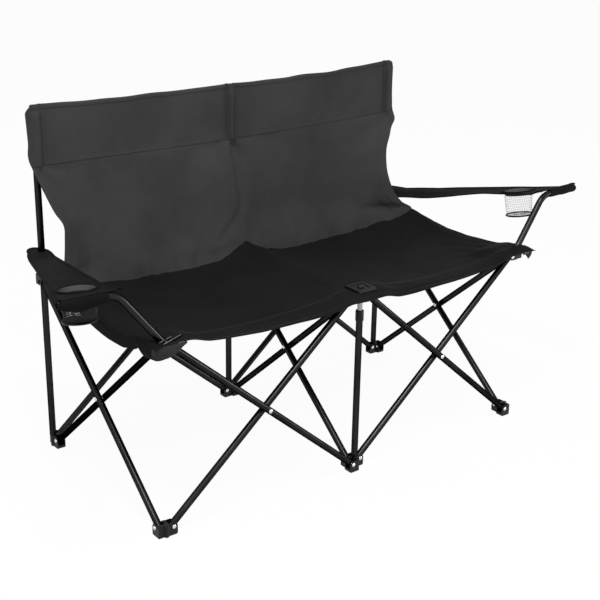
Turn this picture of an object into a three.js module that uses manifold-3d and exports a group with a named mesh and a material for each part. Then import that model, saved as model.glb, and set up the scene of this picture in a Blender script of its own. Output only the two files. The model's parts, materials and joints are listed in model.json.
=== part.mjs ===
// Folding camping loveseat: a tubular steel scissor frame with three back posts, moulded feet and hubs,
// a sewn fabric seat and back for two people, and two fabric armrests with net cup holders.
// Millimetres, +Z up, +Y towards the back. The origin is on the floor, under the middle of the frame.
import * as THREE from "three";
import { mergeVertices } from "three/addons/utils/BufferGeometryUtils.js";
import Module from "manifold-3d";

// Frame
const SPAN = 530; // from one hub to the next, across and front to back
const PIVOT_RISE = 420; // from the lower pivots up to the upper ones, chair open
const FOOT_PIVOT_Z = 20; // lower pivots above the floor
const POST_TOP = 845; // top of the back posts
const TUBE_D = 16;
const TUBE_WALL = 1.2;
const TUBE_SIDES = 12;
const TUBE_END = 7; // tube past its pivot
const LEG_GAP = 0.8; // between the two legs of a pair
const FIT = 0.3; // gap between pieces that touch

// Rivets and pins
const PIN_D = 6;
const RIVET_HEAD_D = 10;
const RIVET_HEAD_H = 2;
const PIN_SIDES = 8;

// Feet and hubs
const CHEEK = 2.6; // wall on each side of a leg
const CHEEK_R = 9.5; // round end of a cheek
const POST_CLEAR = 2; // between a leg at its pivot and the post beside it
const EDGE_R = 4; // rounded corner of a block
const HUB_TOP = 16; // top of an upper hub above its pivots
const SPIGOT_H = 28; // plug of a foot inside its post
const SLIDER_COLLAR_H = 8; // collar of the centre slider above its block
const ARM_COLLAR_H = 50; // collar of an outer slider, which carries the armrest
const COLLAR_WALL = 3.2;
const CAP_H = 5; // plastic cap on a post
const CAP_LIP = 0.6; // how far the cap stands out past the tube

// Front post
const ROD_D = 12;
const ROD_L = 335;
const ROD_SHOWS = 26; // rod between its outer tube and the hub

// Arm tubes, which carry on past the front hubs
const ARM_PAST_HUB = 38; // straight stretch past the hub pivot
const ARM_LEAN = 34; // degrees from upright after the first bend
const ARM_CLIMB = 145;
const ARM_TILT = 1; // degrees above level after the second bend
const ARM_REACH = 115;
const ARM_PULL = { left: 5, right: 0 }; // degrees that an arm has been pulled outwards in use
const ARM_BEND_LOW = 60;
const ARM_BEND_HIGH = 45;

// Cloth
const CLOTH = 1.5;
const SEAT_BACK_Y = 184; // where the seat is sewn to the back
const CREASE_Y = 63; // line where the seat folds when the chair closes
const SEAT_OVERHANG = 32; // seat in front of the front hubs
const HUB_EASE = 60; // distance in which the seat starts to sag beside a hub
const FRONT_SAG = 18; // seat between two hubs, at the front edge
const REAR_SAG = 52; // the same, at the seam
const RIDGE_DIP = 11; // middle of the ridge between the two places
const EDGE_DIP = 18; // middle of the side edge
const EDGE_RISE = 18; // side edge at the seam
const RIDGE_RISE = 3; // ridge at the seam
const HEM_DROP = 20; // front hem under the clamp plate
const FLAP_DROP = 34; // side edge turned down
const FLAP_TURN = 3; // bend of that edge
const POCKET_L = 137; // post pockets, down from the top of the back
const POCKET_HALF = 24; // half the width of a post pocket
const WAIST_UP = 145; // waist of the back above the upper pivots
const WAIST_IN = 33; // back drawn in at the waist, inside the posts
const FOOT_IN = 17; // the same, at the seam
const BACK_FLARE = 4; // back standing out at the lower end of the pockets

// Armrests and cup holders
const ARM_REAR_HALF = 30; // half width at the post
const ARM_FRONT_HALF = 68; // half width at the hem
const ARM_REAR_OUT = 10; // middle of the armrest outside the post
const ARM_TAIL = 34; // cloth behind the post
const ARM_SETTLE = 0.9; // share of the length in which the armrest comes down to the post
const HEM_END = 10; // hem past the end of the tube
const CUP_R = 38;
const CUP_BACK = 100; // cup hole behind the hem
const CUP_DEPTH = 64;
const CUP_FLOOR_R = 33;
const RIM_W = 6; // binding round the cup hole
const RIM_H = 2;
const RING_D = 3.4;

// Corner pockets of the seat, and the clamp plate at its front
const CORNER_R = 32;
const CORNER_DROP = 50;
const CORNER_TAPER = 0.2; // how much narrower a pocket is at its bottom
const PLATE_SIDE = 52;
const PLATE_H = 6;
const PLATE_RECESS = 2.5;
const BOLT_HEAD_D = 13;
const BOLT_HEAD_H = 3;

const wasm = await Module();
wasm.setup();

const UP = new THREE.Vector3(0, 0, 1);
const TUBE_R = TUBE_D / 2;
const PAIR = (TUBE_D + LEG_GAP) / 2;
const PIVOT_OUT = TUBE_D + POST_CLEAR;
const END_SWEEP = Math.hypot(TUBE_END, TUBE_R) + 0.7; // room for a turning tube end
const BLOCK_END = PIVOT_OUT + CHEEK_R;
const SLOT_W = TUBE_D + LEG_GAP;
const BLOCK_W = SLOT_W + 2 * CHEEK;
const UPPER_Z = FOOT_PIVOT_Z + PIVOT_RISE;
const PIVOT_SPAN = SPAN - 2 * PIVOT_OUT;
const CORE_R = PIVOT_OUT - END_SWEEP - 0.6;
const CAP_R = TUBE_R + CAP_LIP;
const SEAT_Z = UPPER_Z + HUB_TOP + FIT + CLOTH / 2;
const BACK_Y = SPAN / 2 - CAP_R - FIT - CLOTH / 2;
const FLAP_OUT = CORNER_R + CLOTH - FLAP_TURN; // flap hangs flush with the corner pockets
const HUB_FLAT = Math.hypot(BLOCK_END, BLOCK_W) + EDGE_R; // seat lies flat this far round a hub
const FRONT_Y = -SPAN / 2;
const REAR_Y = SPAN / 2;
const BACK_TOP = POST_TOP + CAP_H + FIT + CLOTH;
const POCKET_BOTTOM = BACK_TOP - POCKET_L;
const BACK_WIDE = SPAN + POCKET_HALF;

const columns = { left: -SPAN, centre: 0, right: SPAN };
const rows = { front: FRONT_Y, back: REAR_Y };

const gloss = { color: 0x141416, roughness: 0.35, metalness: 0.7 };
const plastic = { color: 0x18181a, roughness: 0.6, metalness: 0 };
const steel = { color: 0xb8bcc0, roughness: 0.3, metalness: 1 };
const seatCloth = { color: 0x161617, roughness: 0.9, metalness: 0 };
const backCloth = { color: 0x333335, roughness: 0.9, metalness: 0 };
const netCloth = { color: 0xa8aaac, roughness: 0.8, metalness: 0 };

const loveseat = new THREE.Group();

function addPiece(name, geometry, finish, x = 0, y = 0, z = 0) {
  const mesh = new THREE.Mesh(geometry, new THREE.MeshStandardMaterial(finish));
  mesh.name = name;
  mesh.position.set(x, y, z);
  loveseat.add(mesh);
  return mesh;
}

// Closed geometry to solid and back
function toSolid(geometry) {
  const bare = geometry.index ? geometry.toNonIndexed() : geometry.clone();
  bare.deleteAttribute("normal");
  bare.deleteAttribute("uv");
  const merged = mergeVertices(bare, 1e-4);
  const vertProperties = merged.attributes.position.array;
  const triVerts = new Uint32Array(merged.index.array);
  return new wasm.Manifold(new wasm.Mesh({ numProp: 3, vertProperties, triVerts }));
}

function toGeometry(solid) {
  const mesh = solid.getMesh();
  const geometry = new THREE.BufferGeometry();
  geometry.setAttribute("position", new THREE.BufferAttribute(mesh.vertProperties, 3));
  geometry.setIndex(new THREE.BufferAttribute(mesh.triVerts, 1));
  geometry.computeVertexNormals();
  return geometry;
}

function box(x0, x1, y0, y1, z0, z1) {
  const geometry = new THREE.BoxGeometry(x1 - x0, y1 - y0, z1 - z0);
  return geometry.translate((x0 + x1) / 2, (y0 + y1) / 2, (z0 + z1) / 2);
}

// Upright cylinder between two heights
function cylinder(radius, z0, z1, sides) {
  const geometry = new THREE.CylinderGeometry(radius, radius, z1 - z0, sides);
  return geometry.rotateX(Math.PI / 2).translate(0, 0, (z0 + z1) / 2);
}

// Cylinder along Y or X about a point
function crossPin(along, radius, half, at, sides = PIN_SIDES) {
  const geometry = cylinder(radius, -half, half, sides);
  if (along === "y") geometry.rotateX(Math.PI / 2);
  else geometry.rotateY(Math.PI / 2);
  return geometry.translate(at.x, at.y, at.z);
}

function roundShape(radius, sides) {
  const points = [];
  for (let i = 0; i < sides; i++) {
    const turn = (2 * Math.PI * i) / sides;
    points.push(new THREE.Vector2(radius * Math.cos(turn), radius * Math.sin(turn)));
  }
  return points;
}

function ringShape(outer, inner) {
  const shape = new THREE.Shape(roundShape(outer, TUBE_SIDES));
  shape.holes.push(new THREE.Path(roundShape(inner, TUBE_SIDES)));
  return shape;
}

// Upright hollow tube
function uprightTube(z0, z1) {
  const shape = ringShape(TUBE_R, TUBE_R - TUBE_WALL);
  return new THREE.ExtrudeGeometry(shape, { depth: z1 - z0, bevelEnabled: false }).translate(0, 0, z0);
}

// A centre line of straight stretches joined by arcs, sampled only where it bends
class BentLine extends THREE.Curve {
  constructor(corners, radii) {
    super();
    this.stations = [{ at: corners[0], way: corners[1].clone().sub(corners[0]).normalize() }];
    for (let i = 1; i < corners.length - 1; i++) this.addBend(corners, i, radii[i - 1]);
    const last = corners.length - 1;
    const way = corners[last].clone().sub(corners[last - 1]).normalize();
    this.stations.push({ at: corners[last], way });
  }

  addBend(corners, i, radius) {
    const before = corners[i].clone().sub(corners[i - 1]).normalize();
    const after = corners[i + 1].clone().sub(corners[i]).normalize();
    const turn = before.angleTo(after);
    const set = radius * Math.tan(turn / 2);
    const start = corners[i].clone().addScaledVector(before, -set);
    const inward = after.clone().addScaledVector(before, -Math.cos(turn)).normalize();
    const steps = Math.ceil(turn / (Math.PI / 18));
    for (let k = 0; k <= steps; k++) {
      const part = (turn * k) / steps;
      const at = start.clone().addScaledVector(before, radius * Math.sin(part));
      at.addScaledVector(inward, radius * (1 - Math.cos(part)));
      const way = before.clone().multiplyScalar(Math.cos(part)).addScaledVector(inward, Math.sin(part));
      this.stations.push({ at, way });
    }
  }

  get steps() {
    return this.stations.length - 1;
  }

  getPointAt(u) {
    return this.stations[Math.round(u * this.steps)].at.clone();
  }

  getTangentAt(u) {
    return this.stations[Math.round(u * this.steps)].way.clone();
  }
}

function bentTube(line) {
  const shape = ringShape(TUBE_R, TUBE_R - TUBE_WALL);
  return new THREE.ExtrudeGeometry(shape, { steps: line.steps, extrudePath: line });
}

// Thin closed sheet about a grid of points, as thick as the cloth
function sheet(grid, thickness = CLOTH) {
  const nRows = grid.length;
  const nCols = grid[0].length;
  const place = (i, j) => grid[Math.min(Math.max(i, 0), nRows - 1)][Math.min(Math.max(j, 0), nCols - 1)];
  const faces = [[], []];
  for (let i = 0; i < nRows; i++) {
    for (let j = 0; j < nCols; j++) {
      const alongRow = place(i, j + 1).clone().sub(place(i, j - 1));
      const alongCol = place(i + 1, j).clone().sub(place(i - 1, j));
      const normal = alongRow.cross(alongCol).normalize();
      faces[0].push(grid[i][j].clone().addScaledVector(normal, thickness / 2));
      faces[1].push(grid[i][j].clone().addScaledVector(normal, -thickness / 2));
    }
  }
  const index = [];
  const back = nRows * nCols;
  const quad = (a, b, c, d) => index.push(a, b, c, a, c, d);
  for (let i = 0; i < nRows - 1; i++) {
    for (let j = 0; j < nCols - 1; j++) {
      const a = i * nCols + j;
      quad(a, a + 1, a + nCols + 1, a + nCols);
      quad(back + a, back + a + nCols, back + a + nCols + 1, back + a + 1);
    }
  }
  const rim = [];
  for (let j = 0; j < nCols; j++) rim.push(j);
  for (let i = 1; i < nRows; i++) rim.push(i * nCols + nCols - 1);
  for (let j = nCols - 2; j >= 0; j--) rim.push((nRows - 1) * nCols + j);
  for (let i = nRows - 2; i > 0; i--) rim.push(i * nCols);
  rim.forEach((a, k) => {
    const b = rim[(k + 1) % rim.length];
    quad(b, a, back + a, back + b);
  });
  const geometry = new THREE.BufferGeometry().setFromPoints([...faces[0], ...faces[1]]);
  return geometry.setIndex(index);
}

// The legs, in crossing pairs. Each runs from a foot up to the hub of the next column or row.
// side is the side of the pair that the leg lies on: -1 is the front, or the left.
const pairs = [
  { name: "front_left", across: true, row: "front", low: "left", high: "centre", arm: "left" },
  { name: "front_right", across: true, row: "front", low: "centre", high: "right", arm: "right" },
  { name: "back_left", across: true, row: "back", low: "left", high: "centre" },
  { name: "back_right", across: true, row: "back", low: "centre", high: "right" },
  { name: "left_side", across: false, column: "left" },
  { name: "middle", across: false, column: "centre" },
  { name: "right_side", across: false, column: "right" },
];

// Where a pair's two ends are, as hub positions
function pairEnds(pair) {
  if (pair.across) {
    return [
      { column: pair.low, row: pair.row },
      { column: pair.high, row: pair.row },
    ];
  }
  return [
    { column: pair.column, row: "front" },
    { column: pair.column, row: "back" },
  ];
}

const hubKey = (end) => `${end.row}_${end.column}`;
const hubPoint = (end, z) => new THREE.Vector3(columns[end.column], rows[end.row], z);

// Two legs of each pair: the rising one goes up towards +X or +Y, the falling one the other way.
const legs = pairs.flatMap((pair) => {
  const [near, far] = pairEnds(pair);
  const way = pair.across ? new THREE.Vector3(1, 0, 0) : new THREE.Vector3(0, 1, 0);
  const aside = pair.across ? new THREE.Vector3(0, 1, 0) : new THREE.Vector3(1, 0, 0);
  const risingSide = pair.across ? 1 : -1;
  const rising = { pair, rise: "rising", foot: near, hub: far, way, aside, side: risingSide };
  const fallingWay = way.clone().negate();
  const falling = { pair, rise: "falling", foot: far, hub: near, way: fallingWay, aside, side: -risingSide };
  rising.arm = pair.arm === "right";
  falling.arm = pair.arm === "left";
  return [rising, falling];
});

// Lower and upper pivot of a leg
function legPivots(leg) {
  const shift = leg.aside.clone().multiplyScalar(leg.side * PAIR);
  const low = hubPoint(leg.foot, FOOT_PIVOT_Z).add(shift).addScaledVector(leg.way, PIVOT_OUT);
  const high = hubPoint(leg.hub, UPPER_Z).add(shift).addScaledVector(leg.way, -PIVOT_OUT);
  return { low, high };
}

// Corners of an arm tube's centre line, from its foot to its outer end
function armCorners(leg) {
  const { low, high } = legPivots(leg);
  const run = high.clone().sub(low).normalize();
  const lean = THREE.MathUtils.degToRad(ARM_LEAN + ARM_PULL[leg.pair.arm]);
  const tilt = THREE.MathUtils.degToRad(ARM_TILT);
  const bendLow = high.clone().addScaledVector(run, ARM_PAST_HUB);
  const climb = leg.way.clone().multiplyScalar(Math.sin(lean)).addScaledVector(UP, Math.cos(lean));
  const bendHigh = bendLow.clone().addScaledVector(climb, ARM_CLIMB);
  const reach = leg.way.clone().multiplyScalar(Math.cos(tilt)).addScaledVector(UP, Math.sin(tilt));
  const end = bendHigh.clone().addScaledVector(reach, ARM_REACH);
  const start = low.clone().addScaledVector(run, -TUBE_END);
  const highTurn = Math.PI / 2 - tilt - lean;
  return { start, bendLow, bendHigh, end, reach, highTurn };
}

function legName(leg) {
  if (leg.arm) return `${leg.pair.arm}_arm_leg`;
  return `${leg.pair.name}_${leg.rise}_leg`;
}

// Each leg is a tube with cross holes at its two pivots and at its crossing
for (const leg of legs) {
  const { low, high } = legPivots(leg);
  const run = high.clone().sub(low).normalize();
  let line;
  if (leg.arm) {
    const { start, bendLow, bendHigh, end } = armCorners(leg);
    line = new BentLine([start, bendLow, bendHigh, end], [ARM_BEND_LOW, ARM_BEND_HIGH]);
  } else {
    const start = low.clone().addScaledVector(run, -TUBE_END);
    const end = high.clone().addScaledVector(run, TUBE_END);
    line = new BentLine([start, end], []);
  }
  const middle = low.clone().add(high).multiplyScalar(0.5);
  let tube = toSolid(bentTube(line));
  const along = leg.pair.across ? "y" : "x";
  for (const at of [low, middle, high]) {
    tube = tube.subtract(toSolid(crossPin(along, PIN_D / 2 + FIT, TUBE_D, at)));
  }
  addPiece(legName(leg), toGeometry(tube), gloss);
}

// A rivet through each crossing, with a head on both sides
for (const pair of pairs) {
  const [near, far] = pairEnds(pair);
  const halfway = FOOT_PIVOT_Z + PIVOT_RISE / 2;
  const middle = hubPoint(near, halfway).lerp(hubPoint(far, halfway), 0.5);
  const along = pair.across ? "y" : "x";
  const headAt = PAIR + TUBE_R + FIT;
  const profile = [
    new THREE.Vector2(0, -headAt - RIVET_HEAD_H),
    new THREE.Vector2(RIVET_HEAD_D * 0.35, -headAt - RIVET_HEAD_H),
    new THREE.Vector2(RIVET_HEAD_D / 2, -headAt - RIVET_HEAD_H / 3),
    new THREE.Vector2(RIVET_HEAD_D / 2, -headAt),
    new THREE.Vector2(PIN_D / 2, -headAt),
    new THREE.Vector2(PIN_D / 2, headAt),
    new THREE.Vector2(RIVET_HEAD_D / 2, headAt),
    new THREE.Vector2(RIVET_HEAD_D / 2, headAt + RIVET_HEAD_H / 3),
    new THREE.Vector2(RIVET_HEAD_D * 0.35, headAt + RIVET_HEAD_H),
    new THREE.Vector2(0, headAt + RIVET_HEAD_H),
  ];
  const rivet = new THREE.LatheGeometry(profile, PIN_SIDES);
  if (along === "x") rivet.rotateZ(-Math.PI / 2);
  addPiece(`${pair.name}_cross_rivet`, rivet, steel, middle.x, middle.y, middle.z);
}

// Side view of a foot's block: flat on the floor, with a round end about the pivot
function footProfile() {
  const shape = new THREE.Shape();
  shape.moveTo(0, -FOOT_PIVOT_Z);
  shape.lineTo(BLOCK_END - EDGE_R, -FOOT_PIVOT_Z);
  shape.quadraticCurveTo(BLOCK_END, -FOOT_PIVOT_Z, BLOCK_END, -FOOT_PIVOT_Z + EDGE_R);
  shape.lineTo(BLOCK_END, 0);
  shape.absarc(PIVOT_OUT, 0, CHEEK_R, 0, Math.PI / 2, false);
  shape.lineTo(0, CHEEK_R);
  shape.closePath();
  return shape;
}

// Side view of an upper hub's block: flat on top, with a round end about the pivot
function hubProfile() {
  const shape = new THREE.Shape();
  shape.moveTo(0, HUB_TOP);
  shape.lineTo(0, -CHEEK_R);
  shape.lineTo(PIVOT_OUT, -CHEEK_R);
  shape.absarc(PIVOT_OUT, 0, CHEEK_R, -Math.PI / 2, 0, false);
  shape.lineTo(BLOCK_END, HUB_TOP - EDGE_R);
  shape.quadraticCurveTo(BLOCK_END, HUB_TOP, BLOCK_END - EDGE_R, HUB_TOP);
  shape.closePath();
  return shape;
}

// Side view of the room that an arm leg sweeps in its hub, from its open slope to upright
function armSweep() {
  const slope = Math.atan2(PIVOT_RISE, PIVOT_SPAN);
  const r = TUBE_R + LEG_GAP;
  const low = (r * (1 - Math.sin(slope))) / Math.cos(slope);
  const run = 3 * BLOCK_END * Math.cos(slope);
  const rise = 3 * BLOCK_END * Math.sin(slope);
  const upperHalf = [
    new THREE.Vector2(-r, -low),
    new THREE.Vector2(-r - run, rise - low),
    new THREE.Vector2(-r - run, 2 * rise),
    new THREE.Vector2(r, 2 * rise),
  ];
  const lowerHalf = upperHalf.map((point) => point.clone().negate());
  return new THREE.Shape([...upperHalf, ...lowerHalf]);
}

// One leg's place in a foot or hub: a block with a slot for the leg and a pin across it.
// Its own frame has X out towards the leg, Y up and Z across the slot.
function legSeat(leg, out, isFoot) {
  const across = out.clone().cross(UP);
  const shift = leg.aside.dot(across) * leg.side * PAIR;
  const frame = new THREE.Matrix4().makeBasis(out, UP, across);
  const profile = isFoot ? footProfile() : hubProfile();
  const block = new THREE.ExtrudeGeometry(profile, { depth: BLOCK_W, bevelEnabled: false, curveSegments: 3 });
  block.translate(0, 0, shift - BLOCK_W / 2);
  const reach = 2 * BLOCK_END;
  const slotFrom = PIVOT_OUT - END_SWEEP;
  const slotLow = isFoot ? -END_SWEEP : -reach;
  const slotHigh = isFoot ? reach : END_SWEEP;
  let slot = box(slotFrom, reach, slotLow, slotHigh, shift - SLOT_W / 2, shift + SLOT_W / 2);
  if (leg.arm && !isFoot) {
    slot = new THREE.ExtrudeGeometry(armSweep(), { depth: SLOT_W, bevelEnabled: false });
    slot.translate(PIVOT_OUT, 0, shift - SLOT_W / 2);
  }
  const pin = cylinder(PIN_D / 2, shift - BLOCK_W / 2, shift + BLOCK_W / 2, PIN_SIDES);
  pin.translate(PIVOT_OUT, 0, 0);
  return {
    block: toSolid(block.applyMatrix4(frame)),
    slot: toSolid(slot.applyMatrix4(frame)),
    pin: toSolid(pin.applyMatrix4(frame)),
  };
}

const hasPost = (end) => end.row === "back" || end.column === "centre";

// Foot: blocks for its legs round a core, and a plug for the post where there is one
function makeFoot(end) {
  const own = legs.filter((leg) => hubKey(leg.foot) === hubKey(end));
  const seats = own.map((leg) => legSeat(leg, leg.way, true));
  let foot = seats.map((seat) => seat.block).reduce((a, b) => a.add(b));
  for (const seat of seats) foot = foot.subtract(seat.slot);
  foot = foot.add(toSolid(cylinder(CORE_R, -FOOT_PIVOT_Z, CHEEK_R, TUBE_SIDES)));
  if (hasPost(end)) {
    const ledge = CHEEK_R + POST_CLEAR;
    foot = foot.add(toSolid(cylinder(TUBE_R, CHEEK_R - POST_CLEAR / 2, ledge, TUBE_SIDES)));
    const plug = TUBE_R - TUBE_WALL - FIT;
    foot = foot.add(toSolid(cylinder(plug, ledge - 1, ledge + SPIGOT_H, TUBE_SIDES)));
  }
  for (const seat of seats) foot = foot.add(seat.pin);
  return toGeometry(foot);
}

// Upper hub: blocks for its legs, with a bore for the post or rod it sits on
function makeHub(end) {
  const own = legs.filter((leg) => hubKey(leg.hub) === hubKey(end));
  const seats = own.map((leg) => legSeat(leg, leg.way.clone().negate(), false));
  let hub = seats.map((seat) => seat.block).reduce((a, b) => a.add(b));
  if (end.row === "back") {
    const collar = end.column === "centre" ? SLIDER_COLLAR_H : ARM_COLLAR_H;
    hub = hub.add(toSolid(cylinder(TUBE_R + COLLAR_WALL, END_SWEEP, HUB_TOP + collar, TUBE_SIDES)));
  }
  for (const seat of seats) hub = hub.subtract(seat.slot);
  if (end.row === "back") {
    hub = hub.subtract(toSolid(cylinder(TUBE_R + FIT, -PIVOT_RISE, PIVOT_RISE, TUBE_SIDES)));
  } else if (end.column === "centre") {
    hub = hub.subtract(toSolid(cylinder(ROD_D / 2 + FIT, -PIVOT_RISE, END_SWEEP, TUBE_SIDES)));
    hub = hub.subtract(toSolid(cylinder(PIN_D / 2 + FIT, 0, PIVOT_RISE, PIN_SIDES)));
  }
  for (const seat of seats) hub = hub.add(seat.pin);
  return toGeometry(hub);
}

for (const row of ["front", "back"]) {
  for (const column of ["left", "centre", "right"]) {
    const end = { row, column };
    const x = columns[column];
    const y = rows[row];
    addPiece(`${row}_${column}_foot`, makeFoot(end), plastic, x, y, FOOT_PIVOT_Z);
    const kind = row === "back" ? "slider" : "hub";
    addPiece(`${row}_${column}_${kind}`, makeHub(end), plastic, x, y, UPPER_Z);
  }
}

// Back posts with their caps, and the front post: a rod that slides in a tube
const POST_BOTTOM = FOOT_PIVOT_Z + CHEEK_R + POST_CLEAR + FIT;
for (const column of ["left", "centre", "right"]) {
  addPiece(`back_${column}_post`, uprightTube(POST_BOTTOM, POST_TOP), gloss, columns[column], REAR_Y);
  const plug = TUBE_R - TUBE_WALL - FIT;
  const profile = [
    new THREE.Vector2(0, -CAP_H * 2),
    new THREE.Vector2(plug, -CAP_H * 2),
    new THREE.Vector2(plug, FIT),
    new THREE.Vector2(CAP_R, FIT),
    new THREE.Vector2(CAP_R, CAP_H * 0.6),
    new THREE.Vector2(CAP_R * 0.7, CAP_H),
    new THREE.Vector2(0, CAP_H),
  ];
  const cap = new THREE.LatheGeometry(profile, TUBE_SIDES).rotateX(Math.PI / 2);
  addPiece(`back_${column}_post_cap`, cap, plastic, columns[column], REAR_Y, POST_TOP);
}
const sleeveTop = UPPER_Z - CHEEK_R - ROD_SHOWS;
addPiece("front_post_sleeve", uprightTube(POST_BOTTOM, sleeveTop), gloss, 0, FRONT_Y);
const rodTop = UPPER_Z + END_SWEEP - FIT;
const rod = cylinder(ROD_D / 2, rodTop - ROD_L, rodTop, TUBE_SIDES);
addPiece("front_post_rod", rod, steel, 0, FRONT_Y);

// Height of the seat cloth. part runs from 0 at the front hubs to 1 at the seam with the back.
// It lies flat on the tops of the front hubs.
function seatHeight(x, part) {
  const alongHubs = Math.min(Math.abs(x), Math.abs(SPAN - Math.abs(x)));
  const fromHub = Math.max(alongHubs, part * (SEAT_BACK_Y - FRONT_Y));
  const free = THREE.MathUtils.smoothstep(fromHub, HUB_FLAT, HUB_FLAT + HUB_EASE);
  const out = Math.min(Math.abs(x) / SPAN, 1);
  const arch = 4 * part * (1 - part);
  const ridge = RIDGE_RISE * part - RIDGE_DIP * arch;
  const edge = EDGE_RISE * part * part - EDGE_DIP * arch;
  const roundPlace = 4 * out * (1 - out);
  const flatPlace = 1 - Math.pow(2 * out - 1, 4);
  const place = THREE.MathUtils.lerp(roundPlace, flatPlace, part * part);
  const sag = THREE.MathUtils.lerp(FRONT_SAG, REAR_SAG, part * part) * place;
  return SEAT_Z + (ridge + (edge - ridge) * out - sag) * free;
}

// Half width of the seat: it narrows to the waist of the back
function seatHalf(part) {
  return SPAN - FOOT_IN * part * part;
}

const flatPart = HUB_FLAT / SPAN;
const acrossSteps = [0, flatPart, 0.11, 0.18, 0.28, 0.4, 0.52, 0.64, 0.76, 0.87, 1 - flatPart, 1];
const acrossParts = [...acrossSteps.slice(1).reverse().map((s) => -s), ...acrossSteps];

function evenSteps(from, to, count) {
  return Array.from({ length: count + 1 }, (_, i) => from + ((to - from) * i) / count);
}

// One row of the seat: points across, with the side edges turned down past the front corners
function seatRow(y, drop) {
  const part = Math.max((y - FRONT_Y) / (SEAT_BACK_Y - FRONT_Y), 0);
  const half = seatHalf(part);
  const row = acrossParts.map((s) => {
    const middle = Math.max(1 - Math.abs(s) / (1 - flatPart), 0);
    return new THREE.Vector3(s * half, y, seatHeight(s * SPAN, part) - drop * middle);
  });
  const past = THREE.MathUtils.smoothstep(y - FRONT_Y, HUB_FLAT, HUB_FLAT + HUB_EASE);
  const flap = FLAP_DROP * (1 - part) * past;
  for (const end of [row[0], row[row.length - 1]]) {
    const out = Math.sign(end.x);
    const bend = end.clone().add(new THREE.Vector3(out * FLAP_OUT, 0, 0));
    const hem = bend.clone().add(new THREE.Vector3(out * FLAP_TURN, 0, -flap));
    if (out < 0) row.unshift(hem, bend);
    else row.push(bend, hem);
  }
  return row;
}

// Seat: a long front panel and a short rear strip that meet at the crease
const blockFront = FRONT_Y - PAIR - BLOCK_W / 2;
const hemRows = [
  [FRONT_Y - SEAT_OVERHANG, HEM_DROP],
  [FRONT_Y - SEAT_OVERHANG * 0.93, HEM_DROP * 0.35],
  [blockFront - 2, 0],
];
const frontSteps = [FRONT_Y, ...evenSteps(FRONT_Y + HUB_FLAT, CREASE_Y - FIT / 2, 6)];
const frontRows = [...hemRows, ...frontSteps.map((y) => [y, 0])];
let seatFront = toSolid(sheet(frontRows.map(([y, drop]) => seatRow(y, drop))));
for (const leg of legs.filter((one) => one.arm)) {
  const out = Math.sign(leg.way.x);
  const { high } = legPivots(leg);
  const slitFrom = out * (SPAN - 2 * TUBE_R);
  const slitTo = out * (SPAN + BLOCK_END * 2);
  const half = TUBE_R + LEG_GAP;
  const slitLeft = Math.min(slitFrom, slitTo);
  const slitRight = Math.max(slitFrom, slitTo);
  const slit = box(slitLeft, slitRight, high.y - half, high.y + half, 0, BACK_TOP);
  seatFront = seatFront.subtract(toSolid(slit));
}
const boltHole = cylinder(PIN_D / 2 + FIT, UPPER_Z, BACK_TOP, PIN_SIDES).translate(0, FRONT_Y, 0);
seatFront = seatFront.subtract(toSolid(boltHole));
addPiece("seat_front_panel", toGeometry(seatFront), seatCloth);
const rearSteps = evenSteps(CREASE_Y + FIT / 2, SEAT_BACK_Y - CLOTH / 2 - FIT, 4);
addPiece("seat_rear_panel", sheet(rearSteps.map((y) => seatRow(y, 0))), seatCloth);

// Back: leans forward from the post pockets down to the seam, drawn in at the waist
const waistZ = UPPER_Z + WAIST_UP;
const waist = SPAN - WAIST_IN;
const wideFrom = THREE.MathUtils.lerp(waistZ, POCKET_BOTTOM, 0.9);
const backOutline = new THREE.SplineCurve([
  new THREE.Vector2(SPAN - FOOT_IN, UPPER_Z),
  new THREE.Vector2(SPAN - (FOOT_IN + WAIST_IN) / 2, (UPPER_Z + waistZ) / 2),
  new THREE.Vector2(waist, waistZ),
  new THREE.Vector2(BACK_WIDE, wideFrom),
  new THREE.Vector2(BACK_WIDE + BACK_FLARE, POCKET_BOTTOM),
  new THREE.Vector2(BACK_WIDE, POCKET_BOTTOM + POCKET_L / 3),
  new THREE.Vector2(BACK_WIDE, BACK_TOP),
]);
const outlinePoints = backOutline.getPoints(60);

function backHalf(z) {
  const upper = outlinePoints.findIndex((point) => point.y >= z);
  if (upper <= 0) return outlinePoints[upper < 0 ? outlinePoints.length - 1 : 0].x;
  const a = outlinePoints[upper - 1];
  const b = outlinePoints[upper];
  return a.x + ((b.x - a.x) * (z - a.y)) / (b.y - a.y);
}

function backPoint(s, part) {
  const low = seatHeight(s * SPAN, 1);
  const z = low + (BACK_TOP - low) * part;
  const climb = Math.min(Math.max((z - low) / (POCKET_BOTTOM - low), 0), 1);
  const y = SEAT_BACK_Y + (BACK_Y - SEAT_BACK_Y) * Math.pow(climb, 0.8);
  return new THREE.Vector3(s * backHalf(z), y, z);
}

const backParts = [0, 0.05, 0.12, 0.2, 0.28, 0.36, 0.44, 0.52, 0.6, 0.68, 0.84, 1];
let back = toSolid(sheet(backParts.map((part) => acrossParts.map((s) => backPoint(s, part)))));

// A pocket sewn to the back of the sheet, closed at the top, for each post
function pocketBody(half, front, deep, z0, z1) {
  const outline = new THREE.Shape();
  outline.moveTo(-half, front);
  outline.quadraticCurveTo(-half * 0.7, deep, 0, deep);
  outline.quadraticCurveTo(half * 0.7, deep, half, front);
  outline.closePath();
  const options = { bevelEnabled: false, curveSegments: 6, depth: z1 - z0 };
  return toSolid(new THREE.ExtrudeGeometry(outline, options).translate(0, 0, z0));
}

function postPocket() {
  const front = BACK_Y - REAR_Y;
  const deep = CAP_R + FIT + CLOTH;
  const outside = pocketBody(POCKET_HALF, front, deep, POCKET_BOTTOM, BACK_TOP);
  const room = pocketBody(POCKET_HALF - 2 * CLOTH, front + CLOTH / 4, deep - CLOTH, 0, BACK_TOP - CLOTH);
  return outside.subtract(room);
}

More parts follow.
